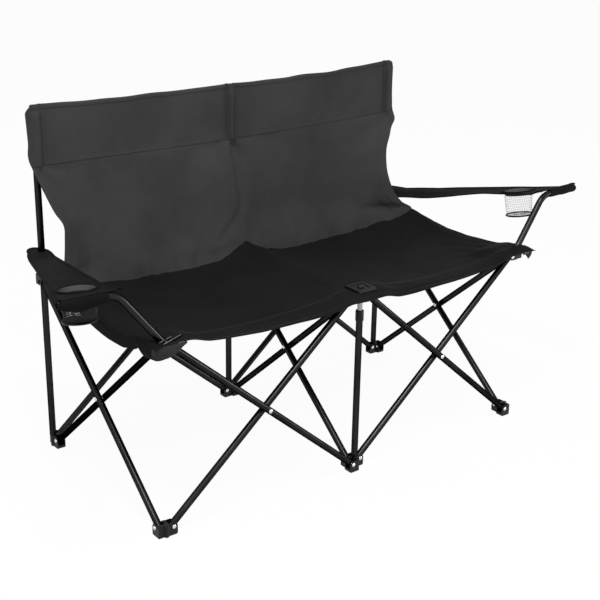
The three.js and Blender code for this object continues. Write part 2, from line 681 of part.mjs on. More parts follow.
for (const column of ["left", "centre", "right"]) {
  back = back.add(postPocket().translate([columns[column], REAR_Y, 0]));
}
addPiece("back_panel", toGeometry(back), backCloth);

// Armrests: cloth from a hem round the arm tube back to the post, with a cup holder in each
const armSteps = [0, 0.05, 0.13, 0.22, 0.31, 0.4, 0.5, 0.62, 0.74, 0.86, 0.94, 1];
const armAcross = [-1, -0.72, -0.42, -0.14, 0.14, 0.42, 0.72, 1];

for (const leg of legs.filter((one) => one.arm)) {
  const side = leg.pair.arm;
  const out = Math.sign(leg.way.x);
  const { bendHigh, end, reach, highTurn } = armCorners(leg);
  const bendSet = ARM_BEND_HIGH * Math.tan(highTurn / 2);
  const hemFrom = bendHigh.clone().addScaledVector(reach, bendSet + FIT);
  const hemTo = end.clone().addScaledVector(reach, HEM_END);
  const hemBack = hemTo.clone().addScaledVector(reach, -ARM_FRONT_HALF);
  hemBack.y += TUBE_R + FIT + CLOTH / 2;
  const rearZ = UPPER_Z + HUB_TOP + ARM_COLLAR_H + FIT + CLOTH / 2;
  const rear = new THREE.Vector3(out * (SPAN + ARM_REAR_OUT), REAR_Y + ARM_TAIL, rearZ);

  // A point of the armrest: part runs from the hem to the tail, s from the inner edge to the outer one
  const armPoint = (s, part) => {
    const middle = hemBack.clone().lerp(rear, part);
    const toPost = (middle.y - hemBack.y) / (REAR_Y - hemBack.y);
    const settled = Math.min(toPost, 1);
    middle.x = THREE.MathUtils.lerp(hemBack.x, rear.x, settled);
    middle.z = THREE.MathUtils.lerp(hemBack.z, rear.z, Math.min(settled / ARM_SETTLE, 1));
    const pastPost = Math.max(middle.y - (REAR_Y - ARM_TAIL), 0) / (2 * ARM_TAIL);
    const tailRound = Math.sqrt(1 - 0.75 * pastPost * pastPost);
    const half = THREE.MathUtils.lerp(ARM_FRONT_HALF, ARM_REAR_HALF, Math.pow(settled, 0.8)) * tailRound;
    const level = 1 - settled;
    const tilt = (s * half * reach.z * level) / Math.hypot(reach.x, reach.z);
    return new THREE.Vector3(middle.x + out * s * half, middle.y, middle.z + tilt);
  };
  const grid = armSteps.map((part) => armAcross.map((s) => armPoint(out * s, part)));
  let cloth = toSolid(sheet(grid));
  const hemLine = new BentLine([hemFrom, hemTo], []);
  const hemRing = ringShape(TUBE_R + FIT + CLOTH, TUBE_R + FIT);
  const hem = new THREE.ExtrudeGeometry(hemRing, { steps: 1, extrudePath: hemLine });
  cloth = cloth.add(toSolid(hem));
  const postHole = cylinder(TUBE_R + FIT, 0, BACK_TOP, TUBE_SIDES).translate(out * SPAN, REAR_Y, 0);
  cloth = cloth.subtract(toSolid(postHole));
  const roomFrom = hemFrom.clone().addScaledVector(reach, -FIT);
  const roomTo = hemTo.clone().addScaledVector(reach, FIT);
  const roomLine = new BentLine([roomFrom, roomTo], []);
  const roomRound = new THREE.Shape(roundShape(TUBE_R + FIT, TUBE_SIDES));
  const room = new THREE.ExtrudeGeometry(roomRound, { steps: 1, extrudePath: roomLine });
  cloth = cloth.subtract(toSolid(room));

  // The cup holder hangs square to the slope of the armrest
  const cupPart = CUP_BACK / (rear.y - hemBack.y);
  const cup = armPoint(0, cupPart);
  const alongArm = armPoint(0, cupPart + 0.05).sub(armPoint(0, cupPart - 0.05)).normalize();
  const acrossArm = armPoint(out * 0.5, cupPart).sub(armPoint(-out * 0.5, cupPart));
  const cupUp = acrossArm.cross(alongArm).normalize();
  const cupX = alongArm.clone().cross(cupUp);
  const cupFrame = new THREE.Matrix4().makeBasis(cupX, alongArm, cupUp).setPosition(cup);
  const hole = cylinder(CUP_R, -CUP_R, CUP_R, 20).applyMatrix4(cupFrame);
  cloth = cloth.subtract(toSolid(hole));
  addPiece(`${side}_armrest`, toGeometry(cloth), seatCloth);

  const rimLow = CLOTH / 2 + FIT;
  const rim = new THREE.LatheGeometry(
    [
      new THREE.Vector2(CUP_R - FIT - CLOTH, rimLow),
      new THREE.Vector2(CUP_R + RIM_W, rimLow),
      new THREE.Vector2(CUP_R + RIM_W, rimLow + RIM_H),
      new THREE.Vector2(CUP_R - FIT - CLOTH, rimLow + RIM_H),
      new THREE.Vector2(CUP_R - FIT - CLOTH, rimLow),
    ],
    20,
  );
  addPiece(`${side}_cup_rim`, rim.rotateX(Math.PI / 2).applyMatrix4(cupFrame), seatCloth);

  const netTop = rimLow - FIT;
  const netR = CUP_R - FIT;
  const net = new THREE.LatheGeometry(
    [
      new THREE.Vector2(0, -CUP_DEPTH),
      new THREE.Vector2(CUP_FLOOR_R, -CUP_DEPTH),
      new THREE.Vector2(netR, netTop),
      new THREE.Vector2(netR - CLOTH, netTop),
      new THREE.Vector2(CUP_FLOOR_R - CLOTH, -CUP_DEPTH + CLOTH),
      new THREE.Vector2(0, -CUP_DEPTH + CLOTH),
    ],
    20,
  );
  addPiece(`${side}_cup_net`, net.rotateX(Math.PI / 2).applyMatrix4(cupFrame), netCloth);

  const ringR = CUP_FLOOR_R + FIT + RING_D / 2;
  const ringProfile = roundShape(RING_D / 2, 6).map((p) => new THREE.Vector2(ringR + p.x, p.y - CUP_DEPTH));
  ringProfile.push(ringProfile[0].clone());
  const ring = new THREE.LatheGeometry(ringProfile, 20);
  addPiece(`${side}_cup_ring`, ring.rotateX(Math.PI / 2).applyMatrix4(cupFrame), plastic);
}

// Corner pockets: the front corners of the seat turned down round the hubs
for (const leg of legs.filter((one) => one.arm)) {
  const out = Math.sign(leg.way.x);
  const turns = evenSteps(-0.45, 0.45, 8);
  const heights = [0, 0.35, 0.7, 1];
  const top = SEAT_Z - CLOTH / 2 - FIT;
  const grid = heights.map((h) =>
    turns.map((turn) => {
      const angle = -Math.PI * 0.75 + turn * Math.PI;
      const r = CORNER_R * (1 - CORNER_TAPER * h * h);
      const drop = CORNER_DROP * h * (1 - 1.2 * turn * turn);
      const x = r * Math.cos(angle) * -out;
      return new THREE.Vector3(out * SPAN + x, FRONT_Y + r * Math.sin(angle), top - drop);
    }),
  );
  if (out > 0) grid.reverse();
  addPiece(`${leg.pair.arm}_corner_pocket`, sheet(grid), seatCloth);
}

// Clamp plate on the front of the seat, and its bolt down into the centre hub
const plateLow = SEAT_Z + CLOTH / 2 + FIT;
const half = PLATE_SIDE / 2;
const recess = half - EDGE_R * 2;
let plate = toSolid(box(-half, half, -half, half, 0, PLATE_H));
plate = plate.subtract(toSolid(box(-recess, recess, -recess, recess, PLATE_H - PLATE_RECESS, PLATE_H * 2)));
plate = plate.subtract(toSolid(cylinder(PIN_D / 2 + FIT, -PLATE_H, PLATE_H * 2, PIN_SIDES)));
addPiece("seat_clamp_plate", toGeometry(plate), plastic, 0, FRONT_Y, plateLow);
const boltSeat = plateLow + PLATE_H - PLATE_RECESS + FIT;
const boltFoot = rodTop + 2 * FIT;
const bolt = new THREE.LatheGeometry(
  [
    new THREE.Vector2(0, boltFoot),
    new THREE.Vector2(PIN_D / 2, boltFoot),
    new THREE.Vector2(PIN_D / 2, boltSeat),
    new THREE.Vector2(BOLT_HEAD_D / 2, boltSeat),
    new THREE.Vector2(BOLT_HEAD_D / 2, boltSeat + BOLT_HEAD_H / 2),
    new THREE.Vector2(BOLT_HEAD_D / 3, boltSeat + BOLT_HEAD_H),
    new THREE.Vector2(0, boltSeat + BOLT_HEAD_H),
  ],
  TUBE_SIDES,
);
addPiece("clamp_bolt", bolt.rotateX(Math.PI / 2), steel, 0, FRONT_Y);

export default loveseat;
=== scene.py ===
import json
import math

import bmesh
import bpy
from mathutils import Matrix, Vector, noise

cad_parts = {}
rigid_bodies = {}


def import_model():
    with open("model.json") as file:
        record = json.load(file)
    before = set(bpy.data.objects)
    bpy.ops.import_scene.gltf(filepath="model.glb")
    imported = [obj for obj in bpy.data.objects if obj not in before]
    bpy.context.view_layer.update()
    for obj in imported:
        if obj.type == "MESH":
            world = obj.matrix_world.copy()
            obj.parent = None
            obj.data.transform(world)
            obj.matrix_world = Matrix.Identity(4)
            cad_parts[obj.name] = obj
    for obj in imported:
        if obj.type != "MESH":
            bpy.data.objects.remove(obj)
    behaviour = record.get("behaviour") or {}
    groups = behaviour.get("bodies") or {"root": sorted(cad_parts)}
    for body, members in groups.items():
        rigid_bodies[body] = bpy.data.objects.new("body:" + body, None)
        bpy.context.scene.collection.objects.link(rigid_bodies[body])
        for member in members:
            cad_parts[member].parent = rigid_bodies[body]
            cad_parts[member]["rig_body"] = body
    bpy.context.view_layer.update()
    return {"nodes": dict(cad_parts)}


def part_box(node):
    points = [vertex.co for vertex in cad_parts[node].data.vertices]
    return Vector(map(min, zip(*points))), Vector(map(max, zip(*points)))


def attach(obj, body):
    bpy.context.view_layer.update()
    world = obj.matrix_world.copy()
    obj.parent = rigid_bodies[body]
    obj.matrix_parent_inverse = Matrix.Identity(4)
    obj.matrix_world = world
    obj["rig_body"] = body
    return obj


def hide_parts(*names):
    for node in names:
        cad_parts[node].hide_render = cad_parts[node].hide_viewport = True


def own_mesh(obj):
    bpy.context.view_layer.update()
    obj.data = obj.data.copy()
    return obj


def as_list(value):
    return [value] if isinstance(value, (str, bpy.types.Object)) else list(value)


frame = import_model()
scene = bpy.context.scene
scene.view_settings.view_transform = "Standard"

# Camera: in front of the chair's left arm, a little above head height of someone seated.
# Its place, aim and lens are fitted to the feet, hubs and post tops of the photograph.
CAMERA_PLACE = (-1.6495, -2.12, 1.3302)
CAMERA_TURN = 38.46
CAMERA_DIP = 20.0
CAMERA_ROLL = 1.07
LENS_MM = 68.97
SENSOR_MM = 36.0


def put_in(name, data):
    """Puts a new object into the scene."""
    made = bpy.data.objects.new(name, data)
    scene.collection.objects.link(made)
    return made


camera_lens = bpy.data.cameras.new("camera")
camera_lens.lens = LENS_MM
camera_lens.sensor_width = SENSOR_MM
camera_aim = Matrix.Rotation(math.radians(-CAMERA_TURN), 4, "Z")
camera_aim = camera_aim @ Matrix.Rotation(math.radians(90 - CAMERA_DIP), 4, "X")
camera_aim = camera_aim @ Matrix.Rotation(math.radians(CAMERA_ROLL), 4, "Z")
scene.camera = put_in("camera", camera_lens)
scene.camera.matrix_world = Matrix.Translation(CAMERA_PLACE) @ camera_aim

# Studio: a wide white floor that keeps the chair's soft shadow, and a white surround.
# Two long lamps light it, from the upper left and low at the right, with a square one overhead.
FLOOR_HALF = 30.0
FLOOR_WHITE = 0.9
FLOOR_MATT = 0.9
FLOOR_GLOW = 0.95
SURROUND_LIGHT = 0.38
CHAIR_MIDDLE = Vector((0.0, 0.0, 0.45))
LAMPS = {
    "main_lamp": {
        "place": (-1.9, -2.4, 4.1), "size": (3.0, 0.25), "along": (0.33, -0.86, -0.39), "watts": 145,
    },
    "side_lamp": {
        "place": (3.3, -2.2, 0.5), "size": (2.4, 0.25), "along": (0.55, 0.83, 0.0), "watts": 62,
    },
    "top_lamp": {
        "place": (-1.0, -0.9, 3.2), "size": (0.7, 0.7), "along": (1.0, 0.0, 0.0), "watts": 30,
    },
}


def worked_out(tree, operation, *terms):
    """The result of a sum on numbers and on what other nodes of a finish give."""
    step = tree.nodes.new("ShaderNodeMath")
    step.operation = operation
    for socket, term in zip(step.inputs, terms):
        if isinstance(term, (int, float)):
            socket.default_value = term
        else:
            tree.links.new(term, socket)
    return step.outputs[0]


def seen_directly(tree):
    """1 for rays that show the floor or surround itself, in view or in a reflection, and 0 for light."""
    path = tree.nodes.new("ShaderNodeLightPath")
    total = path.outputs["Is Camera Ray"]
    for ray in ("Is Glossy Ray", "Is Transmission Ray"):
        total = worked_out(tree, "ADD", total, path.outputs[ray])
        total.node.use_clamp = True
    return total


def new_finish(name, colour, roughness, metallic=0.0):
    """A finish with one shader, to which its own detail is added."""
    finish = bpy.data.materials.new(name)
    finish.use_nodes = True
    shader = finish.node_tree.nodes["Principled BSDF"]
    shader.inputs["Base Color"].default_value = (*colour, 1.0)
    shader.inputs["Roughness"].default_value = roughness
    shader.inputs["Metallic"].default_value = metallic
    return finish, finish.node_tree, shader


floor_shape = bmesh.new()
bmesh.ops.create_grid(floor_shape, x_segments=1, y_segments=1, size=FLOOR_HALF)
floor_mesh = bpy.data.meshes.new("floor")
floor_shape.to_mesh(floor_mesh)
floor_shape.free()
floor = put_in("floor", floor_mesh)
floor_finish, tree, shader = new_finish("floor_white", (FLOOR_WHITE,) * 3, FLOOR_MATT)
glow = tree.nodes.new("ShaderNodeEmission")
both = tree.nodes.new("ShaderNodeMixShader")
tree.links.new(worked_out(tree, "MULTIPLY", seen_directly(tree), FLOOR_GLOW), both.inputs[0])
tree.links.new(shader.outputs[0], both.inputs[1])
tree.links.new(glow.outputs[0], both.inputs[2])
tree.links.new(both.outputs[0], tree.nodes["Material Output"].inputs["Surface"])
floor_mesh.materials.append(floor_finish)

surround = bpy.data.worlds.new("surround")
surround.use_nodes = True
scene.world = surround
tree = surround.node_tree
strength = tree.nodes.new("ShaderNodeMapRange")
strength.inputs["To Min"].default_value = SURROUND_LIGHT
strength.inputs["To Max"].default_value = 1.0
tree.links.new(seen_directly(tree), strength.inputs["Value"])
tree.nodes["Background"].inputs["Color"].default_value = (1.0, 1.0, 1.0, 1.0)
tree.links.new(strength.outputs[0], tree.nodes["Background"].inputs["Strength"])

for name, made in LAMPS.items():
    light = bpy.data.lights.new(name, "AREA")
    light.shape = "RECTANGLE"
    light.size, light.size_y = made["size"]
    light.energy = made["watts"]
    behind = (Vector(made["place"]) - CHAIR_MIDDLE).normalized()
    upward = behind.cross(Vector(made["along"])).normalized()
    facing = Matrix((upward.cross(behind), upward, behind)).transposed().to_4x4()
    put_in(name, light).matrix_world = Matrix.Translation(made["place"]) @ facing

# Legs: steel tube, drilled at both ends and at the crossing, powder coated gloss black.
# They lie in pairs, one beside the other, and run from a foot to the hub of the next column or row.
TUBE_R = 0.008
TUBE_WALL = 0.0012
TUBE_SIDES = 32
TUBE_MOUTH = 0.02
BEND_STEP = math.radians(5)
LEG_END = 0.007
PIVOT_OUT = 0.018
PIVOT_RISE = 0.42
SHARP_EDGE = math.radians(48)
PAINT = (0.022, 0.022, 0.0224)
PAINT_EDGE = (0.1, 0.1, 0.1, 1.0)
PATCH_DETAIL = 6.0
PATCH_TONES = [(0.3, 0.75), (0.7, 1.3)]
GRAIN_DETAIL = 3.0
GRAIN_STRENGTH = 0.35
WAYS = {"X": Vector((1, 0, 0)), "Y": Vector((0, 1, 0)), "Z": Vector((0, 0, 1))}
STRAIGHT_LEGS = {
    "X": [
        "front_left_rising_leg", "front_right_falling_leg", "back_left_rising_leg",
        "back_left_falling_leg", "back_right_rising_leg", "back_right_falling_leg",
    ],
    "Y": [
        "left_side_rising_leg", "left_side_falling_leg", "middle_rising_leg",
        "middle_falling_leg", "right_side_rising_leg", "right_side_falling_leg",
    ],
}


def middle(node):
    """The middle of a CAD node's box."""
    low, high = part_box(node)
    return (low + high) / 2


def body_under(node):
    """The body that a CAD node rides on."""
    return frame["nodes"][node]["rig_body"]


SPAN = middle("back_right_post").x
PIVOT_SPAN = SPAN - 2 * PIVOT_OUT
LEG_L = math.hypot(PIVOT_SPAN, PIVOT_RISE)


def speckled(tree, place, scale, detail):
    """Noise that gives soft patches at a low scale and a grain at a high one."""
    specks = tree.nodes.new("ShaderNodeTexNoise")
    specks.inputs["Scale"].default_value = scale
    specks.inputs["Detail"].default_value = detail
    tree.links.new(place, specks.inputs["Vector"])
    return specks.outputs["Fac"]


def toned(tree, shader, factor, colour, tones):
    """Colours a finish by two tones (factor, share of the plain colour), from dark to pale."""
    ramp = tree.nodes.new("ShaderNodeValToRGB")
    for stop, (position, tone) in zip(ramp.color_ramp.elements, tones):
        stop.position = position
        stop.color = (*[min(tone * part, 1.0) for part in colour], 1.0)
    tree.links.new(factor, ramp.inputs["Fac"])
    tree.links.new(ramp.outputs["Color"], shader.inputs["Base Color"])


def embossed(tree, shader, height, strength, relief):
    """Raises the grain of a finish, or its yarns."""
    bump = tree.nodes.new("ShaderNodeBump")
    bump.inputs["Strength"].default_value = strength
    bump.inputs["Distance"].default_value = relief
    tree.links.new(height, bump.inputs["Height"])
    tree.links.new(bump.outputs["Normal"], shader.inputs["Normal"])


def grained(name, colour, gloss, grain, relief, patch=9.0, metallic=0.0, shine=0.5):
    """A finish with a fine grain in relief, and colour and gloss that vary in patches."""
    finish, tree, shader = new_finish(name, colour, gloss[0], metallic)
    shader.inputs["Specular IOR Level"].default_value = shine
    place = tree.nodes.new("ShaderNodeTexCoord").outputs["Object"]
    patches = speckled(tree, place, patch, PATCH_DETAIL)
    toned(tree, shader, patches, colour, PATCH_TONES)
    gloss_range = tree.nodes.new("ShaderNodeMapRange")
    ends = (PATCH_TONES[0][0], PATCH_TONES[1][0], *gloss)
    for end, value in zip(("From Min", "From Max", "To Min", "To Max"), ends):
        gloss_range.inputs[end].default_value = value
    tree.links.new(patches, gloss_range.inputs["Value"])
    tree.links.new(gloss_range.outputs[0], shader.inputs["Roughness"])
    embossed(tree, shader, speckled(tree, place, grain, GRAIN_DETAIL), GRAIN_STRENGTH, relief)
    return finish


black_paint = grained("black_paint", PAINT, gloss=(0.26, 0.32), grain=420.0, relief=0.00002, metallic=1.0)
black_paint.node_tree.nodes["Principled BSDF"].inputs["Specular Tint"].default_value = PAINT_EDGE


def add_piece(name, shape, finish, body, slot, *stands_for):
    """Makes a finished shape a piece of the chair, smooth but for its sharp edges."""
    for face in shape.faces:
        face.smooth = True
    for edge in shape.edges:
        edge.smooth = not edge.is_boundary and edge.calc_face_angle(0.0) < SHARP_EDGE
    mesh = bpy.data.meshes.new(name)
    shape.to_mesh(mesh)
    shape.free()
    mesh.materials.append(finish)
    piece = put_in(name, mesh)
    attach(piece, body)
    if stands_for:
        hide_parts(*stands_for)
    return piece


def only(kind, made):
    """The vertices, edges or faces among what an operator made."""
    return [part for part in made if isinstance(part, kind)]


def draw_out(shape, ring, step):
    """Draws the open end of a tube out by a step, and returns its new end."""
    made = bmesh.ops.extrude_edge_only(shape, edges=ring)["geom"]
    ends = set(only(bmesh.types.BMVert, made))
    bmesh.ops.translate(shape, verts=list(ends), vec=step)
    return [edge for edge in only(bmesh.types.BMEdge, made) if set(edge.verts) <= ends]


def stood(place, way, ahead="Z", upward="Y"):
    """The place of a shape whose axis ahead points along a way."""
    return Matrix.Translation(place) @ way.to_track_quat(ahead, upward).to_matrix().to_4x4()


def bent_tube(corners, bends=()):
    """A tube with straight stretches and a round bend at each inner corner, open at both ends."""
    shape = bmesh.new()
    way = (corners[1] - corners[0]).normalized()
    start = stood(corners[0], way)
    bmesh.ops.create_circle(shape, segments=TUBE_SIDES, radius=TUBE_R, matrix=start)
    ring = shape.edges[:]
    at = corners[0]
    for corner, after, bend in zip(corners[1:-1], corners[2:], bends):
        next_way = (after - corner).normalized()
        turn = way.angle(next_way)
        setback = bend * math.tan(turn / 2)
        ring = draw_out(shape, ring, corner - way * setback - at)
        axis = way.cross(next_way).normalized()
        centre = corner - way * setback + axis.cross(way) * bend
        steps = math.ceil(turn / BEND_STEP)
        made = bmesh.ops.spin(
            shape, geom=ring, cent=centre, axis=axis, angle=turn, steps=steps, dvec=(0, 0, 0)
        )
        ring = only(bmesh.types.BMEdge, made["geom_last"])
        at = corner + next_way * setback
        way = next_way
    draw_out(shape, ring, corners[-1] - at)
    rims = [edge for edge in shape.edges if edge.is_boundary]
    caps = bmesh.ops.holes_fill(shape, edges=rims, sides=0)["faces"]
    bmesh.ops.recalc_face_normals(shape, faces=shape.faces[:])
    bmesh.ops.inset_individual(shape, faces=caps, thickness=TUBE_WALL)
    for cap in caps:
        inward = cap.normal * -TUBE_MOUTH
        made = bmesh.ops.extrude_discrete_faces(shape, faces=[cap])["faces"]
        bmesh.ops.translate(shape, verts=made[0].verts[:], vec=inward)
    return shape


def add_tube(node, corners, bends=()):
    """A painted tube in place of a CAD node."""
    tube = bent_tube(corners, bends)
    add_piece(f"{node}_tube", tube, black_paint, body_under(node), "black_tube", node)


for along, legs in STRAIGHT_LEGS.items():
    for node in legs:
        across = WAYS[along] * (PIVOT_SPAN if "rising" in node else -PIVOT_SPAN)
        run = (across + WAYS["Z"] * PIVOT_RISE).normalized()
        half = run * (LEG_L / 2 + LEG_END)
        add_tube(node, [middle(node) - half, middle(node) + half])

# Arm tubes: the two front legs that start at the centre foot carry on past the front hubs.
# Each is bent up beside the seat and out again, so that its end holds the armrest's hem.
# The left one has been pulled a little further out.
REAR_Y = middle("back_right_post").y
FRONT_Y = -REAR_Y
LOWER_Z = 0.02
UPPER_Z = LOWER_Z + PIVOT_RISE
PAIR = 0.0084
ARM_PAST_HUB = 0.038
ARM_LEAN = math.radians(34)
ARM_CLIMB = 0.145
ARM_TILT = math.radians(1)
ARM_REACH = 0.115
ARM_PULL = {"left": math.radians(5), "right": 0.0}
ARM_BENDS = (0.060, 0.045)
SIDES = {"left": -1, "right": 1}

arm_lines = {}
for side, out in SIDES.items():
    row_y = FRONT_Y + out * PAIR
    low = Vector((out * PIVOT_OUT, row_y, LOWER_Z))
    high = Vector((out * (SPAN - PIVOT_OUT), row_y, UPPER_Z))
    run = (high - low).normalized()
    bend_low = high + run * ARM_PAST_HUB
    lean = ARM_LEAN + ARM_PULL[side]
    bend_high = bend_low + Vector((out * math.sin(lean), 0, math.cos(lean))) * ARM_CLIMB
    reach = Vector((out * math.cos(ARM_TILT), 0, math.sin(ARM_TILT)))
    arm_end = bend_high + reach * ARM_REACH
    high_turn = math.pi / 2 - ARM_TILT - lean
    arm_lines[side] = {"bend": bend_high, "end": arm_end, "reach": reach, "turn": high_turn}
    add_tube(f"{side}_arm_leg", [low - run * LEG_END, bend_low, bend_high, arm_end], ARM_BENDS)

# Rivets: zinc plated steel, with a low domed head on both sides.
# One goes through each crossing, where its two legs turn on it.
TOUCH = 1e-6
HEAD_R = 0.005
HEAD_H = 0.0022
HEAD_ANGLES = range(10, 91, 16)
SHANK_R = 0.003
ZINC = (0.66, 0.67, 0.68)
CROSSINGS = {
    "Y": ["front_left", "front_right", "back_left", "back_right"],
    "X": ["left_side", "middle", "right_side"],
}

bright_zinc = grained(
    "bright_zinc", ZINC, gloss=(0.22, 0.38), grain=900.0, relief=0.0001, patch=60.0, metallic=1.0
)


def turned(profile, place, axis, sides=24, shape=None):
    """A turned body: a profile of (radius, height) points spun about an axis through a place."""
    shape = shape or bmesh.new()
    before = set(shape.verts)
    line = [shape.verts.new((radius, 0.0, height)) for radius, height in profile]
    joins = [shape.edges.new(ends) for ends in zip(line, line[1:])]
    bmesh.ops.spin(
        shape, geom=line + joins, cent=(0, 0, 0), axis=(0, 0, 1), angle=2 * math.pi, steps=sides,
        dvec=(0, 0, 0), use_merge=True,
    )
    bmesh.ops.remove_doubles(shape, verts=[v for v in shape.verts if v not in before], dist=TOUCH)
    fresh = [vert for vert in shape.verts if vert not in before]
    faces = list({face for vert in fresh for face in vert.link_faces})
    bmesh.ops.recalc_face_normals(shape, faces=faces)
    bmesh.ops.transform(shape, matrix=stood(place, axis), verts=fresh)
    return shape


def dome(radius, height, base=0.0):
    """Profile of a domed head, from its rim to its top."""
    steps = [math.radians(angle) for angle in HEAD_ANGLES]
    return [(radius * math.cos(a), base + height * math.sin(a)) for a in steps]


seat = PAIR + TUBE_R
upper = [(SHANK_R, 0.0), (SHANK_R, seat), (HEAD_R, seat)] + dome(HEAD_R, HEAD_H, seat)
lower = [(radius, -height) for radius, height in reversed(upper)]
for along, places in CROSSINGS.items():
    for name in places:
        node = f"{name}_cross_rivet"
        rivet = turned(lower[:-1] + upper[1:], middle(node), WAYS[along])
        add_piece(f"{name}_rivet", rivet, bright_zinc, body_under(node), "bright_steel", node)

# Feet and hubs: black moulded plastic with two cheeks for each leg, a pin across them and soft edges.
# The three at the back slide on the posts. A rivet head closes each pin at both ends, painted at the back.
MOULD_EDGE = 0.0011
MOULD_STEPS = 3
MOULD_FLAT = math.radians(1)
MOULD_SHARP = math.radians(50)
BLOCK_HALF = 0.011
HEAD_SUNK = 0.001
HEAD_SIDES = 16
PLASTIC = (0.005, 0.005, 0.0053)
COLUMNS = {"left": -SPAN, "centre": 0.0, "right": SPAN}
ROWS = {"front": FRONT_Y, "back": REAR_Y}
MOULDINGS = [("front", "foot"), ("back", "foot"), ("front", "hub"), ("back", "slider")]
LEGS_ACROSS = {"left": [(1, 0, 0)], "centre": [(-1, 0, 0), (1, 0, 0)], "right": [(-1, 0, 0)]}
LEGS_DEEP = {"front": [(0, 1, 0)], "back": [(0, -1, 0)]}

moulded_plastic = grained(
    "moulded_plastic", PLASTIC, gloss=(0.38, 0.52), grain=1400.0, relief=0.0003, patch=30.0, shine=0.2
)


def soft_edged(node, name, finish, slot, width):
    """A copy of a CAD solid with its edges rounded over, in place of that solid."""
    shape = bmesh.new()
    shape.from_mesh(frame["nodes"][node].data)
    bmesh.ops.remove_doubles(shape, verts=shape.verts[:], dist=TOUCH)
    bmesh.ops.dissolve_limit(shape, angle_limit=MOULD_FLAT, verts=shape.verts[:], edges=shape.edges[:])
    piece = add_piece(name, shape, finish, body_under(node), slot, node)
    rounding = piece.modifiers.new("rounding", "BEVEL")
    rounding.width = width
    rounding.segments = MOULD_STEPS
    rounding.limit_method = "ANGLE"
    rounding.angle_limit = MOULD_SHARP
    rounding.use_clamp_overlap = False
    rounding.harden_normals = True


for row, kind in MOULDINGS:
    for column in COLUMNS:
        node = f"{row}_{column}_{kind}"
        soft_edged(node, f"{node}_moulding", moulded_plastic, "black_plastic", MOULD_EDGE)
        pivot_z = LOWER_Z if kind == "foot" else UPPER_Z
        heads = bmesh.new()
        for way in LEGS_ACROSS[column] + LEGS_DEEP[row]:
            aside = Vector((-way[1], way[0], 0)) * (1 if kind == "foot" else -1)
            pin = Vector((COLUMNS[column], ROWS[row], pivot_z)) + Vector(way) * PIVOT_OUT
            for end in (-1, 1):
                cheek = pin + aside * (PAIR + end * BLOCK_HALF)
                head = [(0.0, -HEAD_SUNK), (HEAD_R, -HEAD_SUNK)] + dome(HEAD_R, HEAD_H)
                turned(head, cheek, aside * end, HEAD_SIDES, heads)
        painted = kind == "slider"
        head_finish = black_paint if painted else bright_zinc
        head_slot = "black_tube" if painted else "bright_steel"
        add_piece(f"{node}_rivets", heads, head_finish, body_under(node), head_slot)

# Back posts: the same tube, upright in the back feet, with a plastic cap in the top.
# The caps are hidden in the pockets of the back, and keep their CAD shape.
for column in COLUMNS:
    node = f"back_{column}_post"
    low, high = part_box(node)
    add_tube(node, [Vector((COLUMNS[column], REAR_Y, end.z)) for end in (low, high)])
    cap = frame["nodes"][f"{node}_cap"]
    cap.data.materials.clear()
    cap.data.materials.append(moulded_plastic)

# Front post: a bright rod under the centre hub slides in a black tube on the centre foot.
# A plastic bush closes the mouth of the tube round the rod.
POST_SIDES = 32
ROD_R = 0.006
ROD_PLAY = 0.0004
ROD_STEEL = (0.3, 0.3, 0.31)
BUSH_R = 0.0098
BUSH_H = 0.024
BUSH_PLAY = 0.0001
BUSH_LIP = 0.002
BUSH_SOFT = 0.001
BUSH_UNDER = 0.0006
BUSH_INSIDE = 0.006

low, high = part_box("front_post_sleeve")
sleeve_top = Vector((0, FRONT_Y, high.z))
tube = bent_tube([Vector((0, FRONT_Y, low.z)), sleeve_top])
sleeve_body = body_under("front_post_sleeve")
add_piece("front_post_tube", tube, black_paint, sleeve_body, "black_tube", "front_post_sleeve")
bush_profile = [
    (TUBE_R + BUSH_PLAY, -BUSH_H),
    (BUSH_R - BUSH_UNDER, -BUSH_H),
    (BUSH_R, BUSH_SOFT - BUSH_H),
    (BUSH_R, BUSH_SOFT / 2),
    (BUSH_R - BUSH_SOFT, BUSH_LIP),
    (ROD_R + ROD_PLAY, BUSH_LIP),
    (ROD_R + ROD_PLAY, -BUSH_INSIDE),
]
bush = turned(bush_profile, sleeve_top, WAYS["Z"], POST_SIDES)
add_piece("front_post_bush", bush, moulded_plastic, sleeve_body, "black_plastic")
low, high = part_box("front_post_rod")
rod_l = high.z - low.z
rod_profile = [(0, 0), (ROD_R, 0), (ROD_R, rod_l), (0, rod_l)]
rod = turned(rod_profile, (0, FRONT_Y, low.z), WAYS["Z"], POST_SIDES)
rod_body = body_under("front_post_rod")
rod_steel = grained(
    "rod_steel", ROD_STEEL, gloss=(0.2, 0.4), grain=700.0, relief=0.0003, patch=40.0, metallic=1.0
)
add_piece("front_post_bright_rod", rod, rod_steel, rod_body, "bright_steel", "front_post_rod")

# Seat: black coated polyester, one cloth for two people that folds along a line behind its middle.
# It lies on the front hubs, sags into two places with a ridge between, and turns down at both sides.
CLOTH = 0.0015
CLOTH_GAP = 0.0003
LAID = CLOTH_GAP + CLOTH / 2
SEAT_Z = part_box("front_centre_hub")[1].z + LAID
SEAT_BACK_Y = 0.184
SEAM_FORWARD = 0.045
CREASE_Y = 0.063
SEAT_FRONT = FRONT_Y - 0.032
HUB_FLAT = 0.039
HUB_EASE = 0.060
HUB_FRONT = 0.0214
FRONT_SAG = 0.018
REAR_SAG = 0.052
RIDGE_DIP = 0.011
RIDGE_RISE = 0.003
EDGE_DIP = 0.018
EDGE_RISE = 0.026
HEM_DROP = 0.020
FLAP_OUT = 0.0305
FLAP_DROP = 0.031
FLAP_TURN = 0.004
SEAM_HALF = 0.541
YARN = 0.0011
SEAT_BLACK = (0.0078, 0.0078, 0.0079)
CLOTH_MATT = 0.8
CLOTH_SHINE = 0.05
